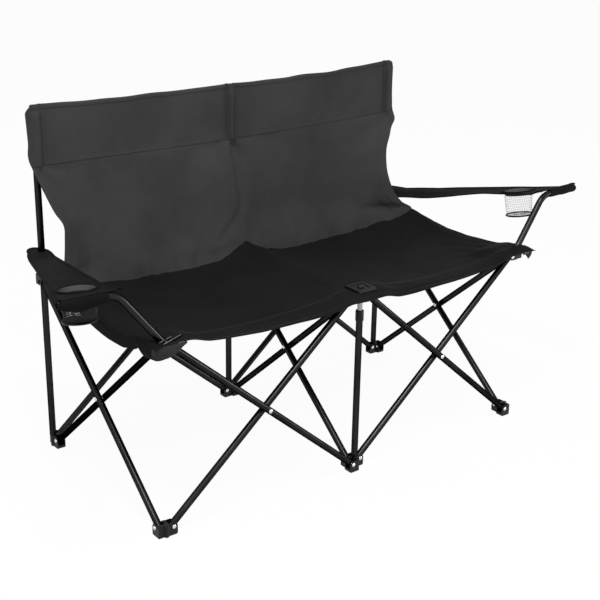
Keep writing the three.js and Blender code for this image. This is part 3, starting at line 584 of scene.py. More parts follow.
YARN_TONE = 0.16
YARN_STRENGTH = 0.3
YARN_RELIEF = 0.0002
WEAR_PATCH = 5.0
WEAR_DETAIL = 8.0
WEAR_ROUGH = 0.62
WEAR_TONES = [(0.25, 0.72), (0.75, 1.3)]
FAN_WANDER = 0.35
FAN_SCALE = 9.0
SEAT_WAVES = [(0.0016, 8.0, 1.0, 3.0), (0.0006, 22.0, 1.0, 8.0)]
SEAT_PUCKERS = [(0.005, 19.0, 0.0, 31.0), (0.003, 55.0, 0.0, 35.0)]
PUCKERS_FROM = 0.13
SEAT_FANS = {"folds": 11, "reach": 0.075, "height": 0.001, "shift": 1.7}
SEAM_STRAIGHT = 0.66
SEAM_UNDER = 0.002
FLAP_FROM = 0.002
FLAP_FULL = 0.052
SLIT_HALF = TUBE_R + 0.0012
SLIT_FROM = SPAN - 2 * TUBE_R
SLIT_TO = SPAN + 0.017
LIP = 0.012
LIP_HALF = 0.03
LIP_BACK = 0.02
SLIT_NEAR = SPAN - 0.06
SEAT_COLUMNS = 230


def between(value, low, high):
    """0 below low, 1 above high, and a smooth rise between."""
    part = min(max((value - low) / (high - low), 0.0), 1.0)
    return part * part * (3 - 2 * part)


def mix(low, high, part):
    """The value at a part of the way from low to high."""
    return low + (high - low) * part


def bell(away, wide):
    """A smooth bump: 1 in the middle, and little past its width."""
    return math.exp(-((away / wide) ** 2))


def uneven(x, y, waves):
    """Rise and fall of slack cloth: a sum of waves (height, scale, stretch along y, seed)."""
    rise = 0.0
    for height, scale, stretch, seed in waves:
        rise += height * noise.noise(Vector((x * scale, y * stretch * scale, seed)))
    return rise


def fan(x, y, at, folds, reach, height, seed):
    """Creases that fan out from a point where the cloth is held, highest at reach from it."""
    away = math.hypot(x - at[0], y - at[1])
    angle = math.atan2(y - at[1], x - at[0]) + uneven(x, y, [(FAN_WANDER, FAN_SCALE, 1.0, seed)])
    return height * math.cos(folds * angle + seed) * (away / reach) * math.exp(1 - away / reach)


def woven(name, colour):
    """Plain woven cloth: yarns over and under each other, worn paler in soft patches."""
    finish, tree, shader = new_finish(name, colour, CLOTH_MATT)
    shader.inputs["Specular IOR Level"].default_value = CLOTH_SHINE
    cloth = tree.nodes.new("ShaderNodeUVMap")
    cloth.uv_map = "cloth"
    parts = tree.nodes.new("ShaderNodeSeparateXYZ")
    tree.links.new(cloth.outputs["UV"], parts.inputs[0])
    waves = []
    for axis in ("X", "Y"):
        turns = worked_out(tree, "MULTIPLY", parts.outputs[axis], math.pi / YARN)
        waves.append(worked_out(tree, "SINE", turns))
    over = worked_out(tree, "MULTIPLY", *waves)
    place = tree.nodes.new("ShaderNodeTexCoord").outputs["Object"]
    wear = speckled(tree, place, WEAR_PATCH, WEAR_DETAIL)
    wear.node.inputs["Roughness"].default_value = WEAR_ROUGH
    toned(tree, shader, worked_out(tree, "MULTIPLY_ADD", over, YARN_TONE, wear), colour, WEAR_TONES)
    embossed(tree, shader, over, YARN_STRENGTH, YARN_RELIEF)
    return finish


def cloth_grid(columns, rows, place, width, length):
    """A sheet of cloth: place(u, v) gives the point of the sheet at u across and v along, both 0 to 1."""
    shape = bmesh.new()
    yarns = shape.loops.layers.uv.new("cloth")
    bmesh.ops.create_grid(shape, x_segments=columns, y_segments=rows, size=0.5)
    for face in shape.faces:
        for loop in face.loops:
            spot = loop.vert.co
            loop[yarns].uv = ((spot.x + 0.5) * width, (spot.y + 0.5) * length)
    for vert in shape.verts:
        vert.co = place(vert.co.x + 0.5, vert.co.y + 0.5)
    return shape


def sewn(name, sheet, finish, body, slot, *stands_for, thickness=CLOTH):
    """Makes a sheet a piece of cloth with its thickness half to each side, and returns its area too."""
    area = sum(face.calc_area() for face in sheet.faces)
    piece = add_piece(name, sheet, finish, body, slot, *stands_for)
    wall = piece.modifiers.new("thickness", "SOLIDIFY")
    wall.thickness = thickness
    wall.offset = 0.0
    return piece, area


def seat_part(y):
    """0 at the front hubs and 1 at the seam with the back."""
    return min(max((y - FRONT_Y) / (SEAT_BACK_Y - FRONT_Y), 0.0), 1.0)


def seat_height(x, part):
    """Height of the seat cloth without its creases."""
    along_hubs = min(abs(x), abs(SPAN - abs(x)))
    from_hub = max(along_hubs, part * (SEAT_BACK_Y - FRONT_Y))
    free = between(from_hub, HUB_FLAT, HUB_FLAT + HUB_EASE)
    out = min(abs(x) / SPAN, 1.0)
    arch = 4 * part * (1 - part)
    ridge = RIDGE_RISE * part - RIDGE_DIP * arch
    edge = EDGE_RISE * part ** 4 - EDGE_DIP * arch
    round_place = 4 * out * (1 - out)
    flat_place = 1 - (2 * out - 1) ** 4
    place = mix(round_place, flat_place, part * part)
    sag = mix(FRONT_SAG, REAR_SAG, part * part) * place
    return SEAT_Z + (mix(ridge, edge, out) - sag) * free


SEAT_HOLDS = [(0.0, FRONT_Y), (-SPAN, FRONT_Y), (SPAN, FRONT_Y)]
SEAT_HOLDS += [(-SEAM_HALF, SEAT_BACK_Y), (SEAM_HALF, SEAT_BACK_Y), (0.0, SEAT_BACK_Y)]


def seat_creases(x, y):
    """Creases of the seat, none where it lies on the hubs."""
    along_hubs = min(abs(x), abs(SPAN - abs(x)))
    free = between(max(along_hubs, y - FRONT_Y), HUB_FLAT, HUB_FLAT + HUB_EASE)
    rise = uneven(x, y, SEAT_WAVES) + uneven(x, y, SEAT_PUCKERS) * between(y, PUCKERS_FROM, SEAT_BACK_Y)
    for order, at in enumerate(SEAT_HOLDS):
        folds = SEAT_FANS["folds"] + order
        seed = SEAT_FANS["shift"] * order
        rise += fan(x, y, at, folds, SEAT_FANS["reach"], SEAT_FANS["height"], seed)
    return rise * free


def seam_y(s):
    """Place of the seam with the back: it runs forward to both sides."""
    return SEAT_BACK_Y - SEAM_FORWARD * between(abs(s), SEAM_STRAIGHT, 1.0) ** 2


def seat_point(u, y):
    """A point of the seat: u runs from the lower edge of the left flap to that of the right one."""
    part = seat_part(y)
    turn_at = mix(SPAN + FLAP_OUT, SEAM_HALF, part ** 3)
    past_corner = between(y - FRONT_Y, FLAP_FROM, FLAP_FULL)
    flap = max(FLAP_DROP * (1 - part * part) * past_corner, FLAP_TURN)
    along = (2 * u - 1) * (turn_at + flap)
    x = max(-turn_at, min(turn_at, along))
    drawn_in = mix(1.0, SPAN / SEAM_HALF, part * part)
    height = seat_height(min(abs(x) * drawn_in, SPAN), part) + seat_creases(x, y)
    over = abs(along) - abs(x)
    angle = min(over / FLAP_TURN, math.pi / 2)
    down = FLAP_TURN * (1 - math.cos(angle)) + max(over - FLAP_TURN * math.pi / 2, 0.0)
    sideways = math.copysign(FLAP_TURN * math.sin(angle), along)
    before = max(FRONT_Y - HUB_FRONT - y, 0.0) / (FRONT_Y - HUB_FRONT - SEAT_FRONT)
    middle_share = max(1 - abs(x) / (SPAN - HUB_FLAT), 0.0)
    hem = HEM_DROP * before * before * middle_share
    lip = LIP * bell(x - SPAN, LIP_HALF) * between(y, SEAT_FRONT, FRONT_Y)
    lip *= 1 - between(y, FRONT_Y, FRONT_Y + LIP_BACK)
    return Vector((x + sideways, y, height - down - hem + lip))


seat_cloth = woven("seat_cloth", SEAT_BLACK)
SEAT_PANELS = {
    "seat_front_panel": {
        "from": SEAT_FRONT, "to": CREASE_Y, "curved": 0, "rows": 84, "body": "seat_front",
        "rests": ["front_left_hub", "front_centre_hub", "front_right_hub"],
    },
    "seat_rear_panel": {
        "from": CREASE_Y, "to": SEAT_BACK_Y + SEAM_UNDER, "curved": 1, "rows": 28, "body": "seat_rear",
        "rests": ["back_panel"],
    },
}
SEAT_WIDE = 2 * (SPAN + FLAP_OUT + FLAP_DROP)


def fold_across(piece):
    """Gives a piece of cloth its own copy of its mesh."""
    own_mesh(piece)


def cut_slit(sheet, out, tube_y):
    """Cuts the slit at a front corner of the seat that lets the arm tube out."""
    for edge_y in (tube_y - SLIT_HALF, tube_y + SLIT_HALF):
        near = [face for face in sheet.faces if out * face.calc_center_median().x > SLIT_NEAR]
        parts = {part for face in near for part in (face, *face.edges, *face.verts)}
        bmesh.ops.bisect_plane(
            sheet, geom=list(parts), plane_co=(0, edge_y, 0), plane_no=(0, 1, 0), dist=TOUCH
        )
    slit = []
    for face in sheet.faces:
        spot = face.calc_center_median()
        if abs(spot.y - tube_y) < SLIT_HALF and SLIT_FROM < out * spot.x < SLIT_TO:
            slit.append(face)
    bmesh.ops.delete(sheet, geom=slit, context="FACES")


for name, made in SEAT_PANELS.items():
    length = made["to"] - made["from"]

    def panel_point(u, v):
        rear_y = made["to"] - made["curved"] * (SEAT_BACK_Y - seam_y(2 * u - 1))
        return seat_point(u, mix(made["from"], rear_y, v))

    sheet = cloth_grid(SEAT_COLUMNS, made["rows"], panel_point, SEAT_WIDE, length)
    if name == "seat_front_panel":
        for side, out in SIDES.items():
            cut_slit(sheet, out, arm_lines[side]["bend"].y)
    panel, area = sewn(f"{name}_cloth", sheet, seat_cloth, made["body"], "seat_fabric", name)
    fold_across(panel)
    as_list(made["rests"])

# Seat stitching: grey polyester thread, in one row along the front edge and two along its hem.
# Each stitch is a short rounded bar that lies on the cloth.
FRONT_BAND = 0.046
STITCH_L = 0.0034
STITCH_STEP = 0.0052
STITCH_R = 0.0004
STITCH_SIDE = 0.03
STITCH_POINTS = 300
HEM_ROW = 0.003
ROW_APART = 0.005
THREAD = (0.05, 0.05, 0.052)

thread_finish = grained(
    "sewing_thread", THREAD, gloss=(0.55, 0.7), grain=2600.0, relief=0.0001, patch=120.0, shine=0.2
)


def stitch_row(shape, line):
    """Adds stitches along a line of points."""
    lengths = [0.0]
    for a, b in zip(line, line[1:]):
        lengths.append(lengths[-1] + (b - a).length)
    at = STITCH_STEP / 2
    segment = 0
    while at < lengths[-1]:
        while lengths[segment + 1] < at:
            segment += 1
        a, b = line[segment], line[segment + 1]
        part = (at - lengths[segment]) / (lengths[segment + 1] - lengths[segment])
        size = Matrix.Diagonal((STITCH_L / 2, STITCH_R, STITCH_R, 1.0))
        place = stood(a.lerp(b, part), b - a, "X", "Z") @ size
        bmesh.ops.create_icosphere(shape, subdivisions=1, radius=1.0, matrix=place)
        at += STITCH_STEP


seat_stitches = bmesh.new()
on_top = Vector((0, 0, CLOTH / 2))
for band in (HEM_ROW, FRONT_BAND, FRONT_BAND + ROW_APART):
    row = []
    for step in range(STITCH_POINTS + 1):
        u = mix(STITCH_SIDE, 1 - STITCH_SIDE, step / STITCH_POINTS)
        row.append(seat_point(u, SEAT_FRONT + band) + on_top)
    stitch_row(seat_stitches, row)
seat_rows = add_piece("seat_front_stitches", seat_stitches, thread_finish, "seat_front", "seat_fabric")
fold_across(seat_rows)

# Clamp plate: a square plastic plate with a raised rim, which presses the seat on to the front centre hub.
# One bolt goes down through it into the hub, under a snap-on cap.
PLATE_EDGE = 0.0009
BOLT_HEAD_H = 0.003
BOLT_HEAD = [
    (0.0065, 0.0), (0.0065, 0.0012), (0.0056, 0.0024), (0.004, 0.003),
    (0.0032, 0.003), (0.0026, 0.0012), (0.0, 0.0012),
]
BOLT_CAP = [
    (0.0068, 0.0001), (0.0082, 0.0001), (0.0082, 0.0026),
    (0.0068, 0.0043), (0.003, 0.0052), (0.0, 0.0053),
]

soft_edged("seat_clamp_plate", "clamp_plate", moulded_plastic, "black_plastic", PLATE_EDGE)
low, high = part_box("clamp_bolt")
head_z = high.z - BOLT_HEAD_H
head_place = Vector((0, FRONT_Y, head_z))
shank = [(0.0, low.z - head_z), (SHANK_R, low.z - head_z), (SHANK_R, 0.0)]
bolt = turned(shank + BOLT_HEAD, head_place, WAYS["Z"])
bolt_body = body_under("clamp_bolt")
add_piece("clamp_bolt_turned", bolt, bright_zinc, bolt_body, "bright_steel", "clamp_bolt")
cap = turned(BOLT_CAP, head_place, WAYS["Z"])
add_piece("clamp_bolt_cap", cap, moulded_plastic, bolt_body, "black_plastic")

# Corner bags: at each front corner the edge of the seat is sewn into a short bag that goes round the hub.
# The left one hangs open like a bowl, and the right one is turned up, so that its hub shows.
# The front of each is a paler coated cloth. Its side is given the seat's darker cloth as painted shade,
# where the side lies in shadow.
BAG_GRID = (60, 24)
BAG_ROUND = 0.030
BAG_BACK = -0.222
BAG_X = SPAN + FLAP_OUT + FLAP_TURN + 0.001
BAG_Y = SEAT_FRONT - 0.0005
BAG_TOP = SEAT_Z - CLOTH / 2 - 0.0001
BAG_LEAN = 0.1
BAG_TUCK = 0.6
BAG_TUCK_FROM = 0.6
BAG_BELLY = 0.12
BAG_PLEATS = 22
BAG_PLEAT_SLANT = 5
BAG_PLEAT_DEEP = 0.0016
BAG_YARN_L = 0.03
BAG_PALE = (0.028, 0.028, 0.0284)
BAGS = {
    "left": {
        "from": SPAN - 0.039,
        "drops": [(0.0, 0.004), (0.1, 0.017), (0.3, 0.030), (0.5, 0.033), (0.82, 0.034), (1.0, 0.020)],
    },
    "right": {
        "from": SPAN - 0.014,
        "drops": [(0.0, 0.003), (0.1, 0.005), (0.2, 0.018), (0.34, 0.006), (0.6, 0.006), (1.0, 0.012)],
    },
}
bag_cloth = woven("bag_cloth", BAG_PALE)


def along_stops(stops, at):
    """The value between two neighbouring stops (place, value)."""
    for (before, low), (after, high) in zip(stops, stops[1:]):
        if at <= after:
            return mix(low, high, (at - before) / (after - before))
    return stops[-1][1]


for side, out in SIDES.items():
    front_long = BAG_X - BAG_ROUND - BAGS[side]["from"]
    round_long = BAG_ROUND * math.pi / 2
    side_long = BAG_BACK - (BAG_Y + BAG_ROUND)
    bag_long = front_long + round_long + side_long

    def bag_point(u, v):
        """Along the front, round the corner and back along the side, and down from the seat's edge."""
        along = u * bag_long
        turn = min(max((along - front_long) / BAG_ROUND, 0.0), math.pi / 2)
        outward = Vector((math.sin(turn), -math.cos(turn), 0))
        x = BAGS[side]["from"] + min(along, front_long) + BAG_ROUND * math.sin(turn)
        y = BAG_Y + BAG_ROUND * (1 - math.cos(turn)) + max(along - front_long - round_long, 0.0)
        drop = along_stops(BAGS[side]["drops"], u)
        lower_part = max(v - BAG_TUCK_FROM, 0.0) ** 2
        tuck = drop * (BAG_LEAN * v + BAG_TUCK * lower_part - BAG_BELLY * math.sin(math.pi * v))
        tuck += BAG_PLEAT_DEEP * v * math.cos(BAG_PLEATS * u + BAG_PLEAT_SLANT * v)
        edge_z = seat_height(min(x, SPAN), seat_part(y)) - SEAT_Z
        spot = Vector((x, y, BAG_TOP + edge_z - drop * v)) - outward * tuck
        return Vector((out * spot.x, spot.y, spot.z))

    node = f"{side}_corner_pocket"
    sheet = cloth_grid(*BAG_GRID, bag_point, bag_long, BAG_YARN_L)
    if out > 0:
        bmesh.ops.reverse_faces(sheet, faces=sheet.faces[:])
    bag, area = sewn(f"{side}_corner_bag", sheet, bag_cloth, body_under(node), "seat_fabric", node)
    # Painted shade: the faces along the side of the bag take the seat's darker cloth.
    bag.data.materials.append(seat_cloth)
    for face in bag.data.polygons:
        face.material_index = 1 if face.center.y > BAG_Y + BAG_ROUND / 2 else 0

# Corner patch: a square of webbing sewn on the seat at the front left corner, aslant and slit for the tube.
# Its edge is folded under and stands proud, and a pale cord is sewn along the slit and the front edge.
PATCH_MIDDLE = Vector((-0.5085, -0.2630))
PATCH_ALONG = Vector((0.88, 0.475))
PATCH_ACROSS = Vector((-0.475, 0.88))
PATCH_GRID = (30, 36)
PATCH_LONG = 0.036
PATCH_WIDE = 0.040
PATCH_LIFT = CLOTH + 0.0004
PATCH_CLOTH = 0.0012
PATCH_EDGE = 0.0022
PATCH_EDGE_WIDE = (0.1, 0.18)
PIPING_R = 0.0011
PIPING_SIDES = 12
PIPING_Z = SEAT_Z + 0.0042
PIPING_PALE = (0.12, 0.12, 0.122)
PIPING = [
    ((-0.4895, -0.2725), (-0.5440, -0.2960)),
    ((-0.5115, -0.2700), (-0.5480, -0.2855)),
]


def patch_point(u, v):
    """Along the patch and across it, raised where its edge is folded under."""
    spot = PATCH_MIDDLE + PATCH_ALONG * (u - 0.5) * PATCH_LONG + PATCH_ACROSS * (v - 0.5) * PATCH_WIDE
    from_edge = min(u, 1 - u, v, 1 - v)
    proud = PATCH_EDGE * (1 - between(from_edge, *PATCH_EDGE_WIDE))
    height = seat_height(spot.x, seat_part(spot.y)) + PATCH_LIFT + proud
    return Vector((spot.x, spot.y, height))


sheet = cloth_grid(*PATCH_GRID, patch_point, PATCH_LONG, PATCH_WIDE)
cut_slit(sheet, SIDES["left"], arm_lines["left"]["bend"].y)
patch, area = sewn("corner_patch", sheet, seat_cloth, "seat_front", "seat_fabric", thickness=PATCH_CLOTH)
fold_across(patch)
cords = bmesh.new()
for ends in PIPING:
    a, b = (Vector((*end, PIPING_Z)) for end in ends)
    bmesh.ops.create_cone(
        cords, cap_ends=True, segments=PIPING_SIDES, radius1=PIPING_R, radius2=PIPING_R,
        depth=(b - a).length, matrix=stood((a + b) / 2, b - a),
    )
piping_finish = grained(
    "corner_piping", PIPING_PALE, gloss=(0.55, 0.7), grain=1800.0, relief=0.0001, patch=120.0, shine=0.2
)
piping = add_piece("corner_piping", cords, piping_finish, "seat_front", "seat_fabric")
fold_across(piping)

# Back: charcoal polyester that leans forward from the posts down to its seam with the seat.
# It is drawn in at a waist below the posts, and each half is slack on both sides of the middle post.
BACK_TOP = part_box("back_panel")[1].z
POCKET_L = 0.137
POCKET_BOTTOM = BACK_TOP - POCKET_L
POCKET_HALF = 0.024
POCKET_EASE = (0.020, 0.006)
BACK_Y = 0.25535
BACK_WIDE = SPAN + POCKET_HALF
BACK_TALL = 0.47
BACK_COLUMNS = 280
BACK_ROWS = 100
EDGE_STEPS = 12
TOP_CORNER = 0.022
TOP_SWAY = 0.004
TOP_WAVES = [(0.8, 6.0, 1.0, 50.0)]
RIGHT_RISE = 0.018
RISE_CURVE = 1.4
LEAN_CURVE = 0.8
LEAN_EDGE = 0.8
TURN_IN = {-1: 0.008, 1: 0.002}
TURN_FROM = SPAN + 0.010
TURN_WIDE = 0.012
BULGE = 0.0095
BULGE_HALF = 0.0135
BULGE_ROUND = 0.7
BULGE_FADE = 0.85
FADE_FROM = 0.03
SEWN_AT = 0.0215
SEWN_WIDE = 0.0026
SEWN_DEEP = 0.002
POCKET_GROOVES = [(-0.0095, 0.0042, 0.0075), (0.0105, 0.004, 0.0045)]
SLACK = 0.014
POCKET_TAUT = 0.75
SEAM_TAUT = 0.08
BACK_WAVES = [(0.004, 5.0, 1.0, 21.0), (0.0016, 24.0, 0.4, 5.0)]
GATHERS = [(0.008, 36.0, 0.15, 33.0)]
GATHERS_FROM = 0.12
GATHERS_FADE = (0.04, 0.3)
PULL_X = 0.012
PULL_SLANT = 0.1
PULL_Z = (0.42, 0.56)
PULLS = [(0.006, 0.0, 0.014, 0.4), (-0.004, 0.026, 0.016, 0.5)]
BACK_FANS = [(-0.004, 0.01, 5, 0.003, 0.4), (-SPAN, 0.0, 6, 0.0022, 2.0), (SPAN, 0.0, 6, 0.0022, 2.0)]
FAN_REACH = 0.05
BACK_CHARCOAL = (0.036, 0.036, 0.0366)
SEAM_STANDS = 0.016
WAISTS = {
    -1: [(-0.001, 0.037), (-0.019, 0.094), (-0.025, 0.126), (-0.008, 0.163)],
    1: [(-0.018, 0.036), (-0.037, 0.062), (-0.044, 0.100), (-0.041, 0.138), (-0.024, 0.186)],
}
POCKET_SIDES = {
    -1: [(-0.006, 0.003), (-0.005, 0.055), (-0.003, POCKET_L)],
    1: [(0.001, -0.006), (0.002, 0.030), (0.0, 0.070), (0.0, POCKET_L + RIGHT_RISE)],
}


def curve_through(points, steps):
    """Points of a smooth curve through the given ones."""
    padded = [Vector(point) for point in (points[0], *points, points[-1])]
    made = []
    for a, b, c, d in zip(padded, padded[1:], padded[2:], padded[3:]):
        for step in range(steps):
            t = step / steps
            bend = (2 * a - 5 * b + 4 * c - d) * t ** 2 + (3 * b - a - 3 * c + d) * t ** 3
            made.append(0.5 * (2 * b + (c - a) * t + bend))
    return made + [padded[-1]]


back_edges = {}
for out in SIDES.values():
    outline = [(SEAM_HALF, UPPER_Z), (SEAM_HALF, SEAT_Z + SEAM_STANDS)]
    outline += [(SPAN + aside, SEAT_Z + up) for aside, up in WAISTS[out]]
    outline += [(BACK_WIDE + aside, POCKET_BOTTOM + up) for aside, up in POCKET_SIDES[out]]
    back_edges[out] = [(spot.y, spot.x) for spot in curve_through(outline, EDGE_STEPS)]


def side_of(s):
    """1 for the right half of the back and -1 for its left half."""
    return 1 if s > 0 else -1


def back_rise(s):
    """How much higher the right end of the back is pulled on to its post."""
    return RIGHT_RISE * max(s, 0.0) ** RISE_CURVE


def corner_in(below_top):
    """How far the round of a top corner takes the edge in, at a distance below the top."""
    into = min(max(TOP_CORNER - below_top, 0.0), TOP_CORNER)
    return TOP_CORNER - math.sqrt(TOP_CORNER ** 2 - into ** 2)


def back_half(s, z):
    """Half the width of the back at a height, on the side of s."""
    edge = back_edges[side_of(s)]
    return along_stops(edge, max(z, edge[0][0])) - corner_in(edge[-1][0] - z)


def back_low(s):
    """Height of the lower edge of the back, which lies on the seat's seam."""
    y = seam_y(s)
    return seat_height(abs(s) * SPAN, seat_part(y)) + seat_creases(s * SEAM_HALF, y) - CLOTH


def back_top(s):
    """Height of the upper edge of the back, which sways a little between the posts."""
    between_posts = 1 - (2 * abs(s) - 1) ** 2
    return BACK_TOP + back_rise(s) - TOP_SWAY * between_posts * (1 + uneven(s, 0.0, TOP_WAVES))


def back_gathers(x, z, climb, pocket_z):
    """Creases of the back below the pockets: gathers, slanting pulls at the middle, fans at the posts."""
    gathers = uneven(x, z, GATHERS) * (1 - between(climb, *GATHERS_FADE))
    pull_x = PULL_X - PULL_SLANT * between(-z, -PULL_Z[1], -PULL_Z[0])
    for height, aside, wide, up_to in PULLS:
        gathers += height * bell(x - pull_x + aside, wide) * between(climb, 0.0, up_to)
    for fan_x, above, folds, height, seed in BACK_FANS:
        gathers += fan(x, z, (fan_x, pocket_z + above), folds, FAN_REACH, height, seed)
    return gathers


def back_at(s, z, lift=0.0):
    """A point of the back, or of a layer in front of it: s runs from -1 at the left edge to 1."""
    low = back_low(s)
    x = s * back_half(s, z)
    pocket_z = POCKET_BOTTOM + back_rise(s)
    climb = min(max((z - low) / (pocket_z - low), 0.0), 1.0)
    leant = climb ** mix(LEAN_CURVE, 1.0, between(abs(s), LEAN_EDGE, 1.0))
    y = mix(seam_y(s), BACK_Y, leant)
    in_pocket = between(z, pocket_z - POCKET_EASE[0], pocket_z + POCKET_EASE[1])
    bulge = BULGE * in_pocket * (1 - BULGE_FADE * between(z, back_top(s) - FADE_FROM, back_top(s)))
    for post in COLUMNS.values():
        away = abs(x - post)
        if away < BULGE_HALF:
            y -= bulge * (1 - (away / BULGE_HALF) ** 2) ** BULGE_ROUND
        y += SEWN_DEEP * in_pocket * bell(away - SEWN_AT, SEWN_WIDE)
        for groove, wide, deep in POCKET_GROOVES if abs(x) < SPAN else ():
            y += deep * in_pocket * bell(x - post - groove, wide)
    turned_in = max(abs(x) - TURN_FROM, 0.0) / TURN_WIDE
    y += TURN_IN[side_of(s)] * in_pocket * turned_in ** 2
    between_posts = 1 - (2 * abs(s) - 1) ** 2
    slack = uneven(x, z, BACK_WAVES) + SLACK * between_posts * math.sin(math.pi * climb)
    y += slack * (1 - POCKET_TAUT * in_pocket) * between(climb, 0.0, SEAM_TAUT)
    below = (1 - in_pocket) * between(climb, 0.0, GATHERS_FROM)
    return Vector((x, y + back_gathers(x, z, climb, pocket_z) * below - lift, z))


POCKET_SHARE = 0.11
COLUMN_STOPS = [
    (0.0, -1.0), (0.19, POCKET_SHARE - 1), (0.4, -POCKET_SHARE / 2),
    (0.6, POCKET_SHARE / 2), (0.81, 1 - POCKET_SHARE), (1.0, 1.0),
]


def back_across(u):
    """Place across the back of a column of its cloth: the columns lie closer together at the posts."""
    return along_stops(COLUMN_STOPS, u)


back_cloth = woven("back_cloth", BACK_CHARCOAL)


def back_panel_point(u, v):
    s = back_across(u)
    return back_at(s, mix(back_low(s), back_top(s), v))


sheet = cloth_grid(BACK_COLUMNS, BACK_ROWS, back_panel_point, 2 * BACK_WIDE, BACK_TALL)
back, back_area = sewn("back_cloth_panel", sheet, back_cloth, "back_centre", "back_fabric", "back_panel")
fold_across(back)

# Top of the back: a second layer of the same cloth across the whole width, sewn on along its lower edge.
# A narrow fold of it goes over the top edge.
BAND_ROWS = 30
BAND_LIFT = CLOTH + CLOTH_GAP
BAND_BELOW = 0.002
TOP_FOLD = 0.008
TOP_FOLD_ROWS = 14
TOP_FOLD_IN = 0.002
TOP_FOLD_CLOTH = 0.0008
TOP_FOLD_RISE = 0.0012
TOP_FOLD_OVER = (0.4, 0.6)
TOP_FOLD_ROUND = 0.85


def band_point(u, v):
    """Across the second layer, and up from its lower edge."""
    s = back_across(u)
    low = POCKET_BOTTOM + back_rise(s) - BAND_BELOW
    return back_at(s, mix(low, back_top(s) - CLOTH_GAP, v), BAND_LIFT)


def top_fold_point(u, v):
    """Up the front of the back, over its top and down behind it."""
    s = back_across(TOP_FOLD_IN + (1 - 2 * TOP_FOLD_IN) * u)
    up = 1 - abs(2 * v - 1)
    lift = mix(2 * BAND_LIFT, -BAND_LIFT, between(v, *TOP_FOLD_OVER))
    point = back_at(s, back_top(s) - TOP_FOLD * (1 - up), lift)
    point.z += TOP_FOLD_RISE * between(up, TOP_FOLD_ROUND, 1.0)
    return point


sheet = cloth_grid(BACK_COLUMNS, BAND_ROWS, band_point, 2 * BACK_WIDE, POCKET_L)
band, area = sewn("back_band", sheet, back_cloth, "back_centre", "back_fabric")
fold_across(band)
strip = cloth_grid(BACK_COLUMNS, TOP_FOLD_ROWS, top_fold_point, 2 * BACK_WIDE, 2 * TOP_FOLD)
top_fold, area = sewn(
    "back_top_fold", strip, back_cloth, "back_centre", "back_fabric", thickness=TOP_FOLD_CLOTH
)
fold_across(top_fold)

# Post pockets: a strip of the back's cloth sewn on behind each post, closed at the top.
# The post stands in it, and pushes both layers out.
SLEEVE_GRID = (28, 32)
SLEEVE_DEEP = REAR_Y + 0.0089 + CLOTH
SLEEVE_ROUND = 2.4
SLEEVE_CLOSES = 0.93
SLEEVE_WIDE = 0.062
LEFT_NARROWER = 0.011


def rounded_end(v, closes):
    """1 up to where a sleeve starts to close, and from there a quarter round to 0 at its end."""
    return math.sqrt(max(1 - max((v - closes) / (1 - closes), 0.0) ** 2, 0.0))


for column, post in COLUMNS.items():
    s = post / SPAN

    def sleeve_point(u, v):
        """Across the pocket from seam to seam behind the post, and up to its closed top."""
        across = 2 * u - 1
        hollow = (1 - abs(across) ** SLEEVE_ROUND) * rounded_end(v, SLEEVE_CLOSES)
        outward = max(across * s, 0.0)
        at_edge = BACK_Y + CLOTH / 2 + TURN_IN[side_of(s)] * outward ** 2
        z = mix(POCKET_BOTTOM, BACK_TOP - CLOTH, v)
        half = POCKET_HALF
        if outward > 0:
            half -= corner_in(BACK_TOP - z) + (LEFT_NARROWER if column == "left" else 0.0)
        return Vector((post + across * half, mix(at_edge, SLEEVE_DEEP, hollow), z + back_rise(s)))

    sheet = cloth_grid(*SLEEVE_GRID, sleeve_point, SLEEVE_WIDE, POCKET_L)
    bmesh.ops.reverse_faces(sheet, faces=sheet.faces[:])
    node = f"back_{column}_post"
    sleeve, area = sewn(f"back_{column}_pocket", sheet, back_cloth, body_under(node), "back_fabric")

# Stitching of the back: two rows along the lower edge of the second layer, and two beside each post.
# It is the same thread as on the seat.
THREAD_LIFT = BAND_LIFT + CLOTH / 2
ROWS_UP = (0.001, 0.006)
ROW_POINTS = 420
POST_ROW_POINTS = 40
ROW_ENDS = (0.006 - BACK_WIDE, BACK_WIDE - 0.003)
POST_ROW_ENDS = (0.006, POCKET_L - 0.014)


def back_row(shape, x_from, x_to, up_from, up_to, steps):
    """Stitches on the front of the second layer, between two places across and above its lower edge."""
    line = []
    for step in range(steps + 1):
        x = mix(x_from, x_to, step / steps)
        z = POCKET_BOTTOM + back_rise(x / BACK_WIDE) + mix(up_from, up_to, step / steps)
        line.append(back_at(x / back_half(x, z), z, THREAD_LIFT))
    stitch_row(shape, line)


back_stitches = bmesh.new()
for up in ROWS_UP:
    back_row(back_stitches, *ROW_ENDS, up, up, ROW_POINTS)
for post, way in [(0.0, -1), (0.0, 1), (-SPAN, 1), (SPAN, -1)]:
    for away in (SEWN_AT, SEWN_AT + ROW_APART):
        x = post + way * away
        back_row(back_stitches, x, x, *POST_ROW_ENDS, POST_ROW_POINTS)
back_rows = add_piece("back_stitches", back_stitches, thread_finish, "back_centre", "back_fabric")
fold_across(back_rows)

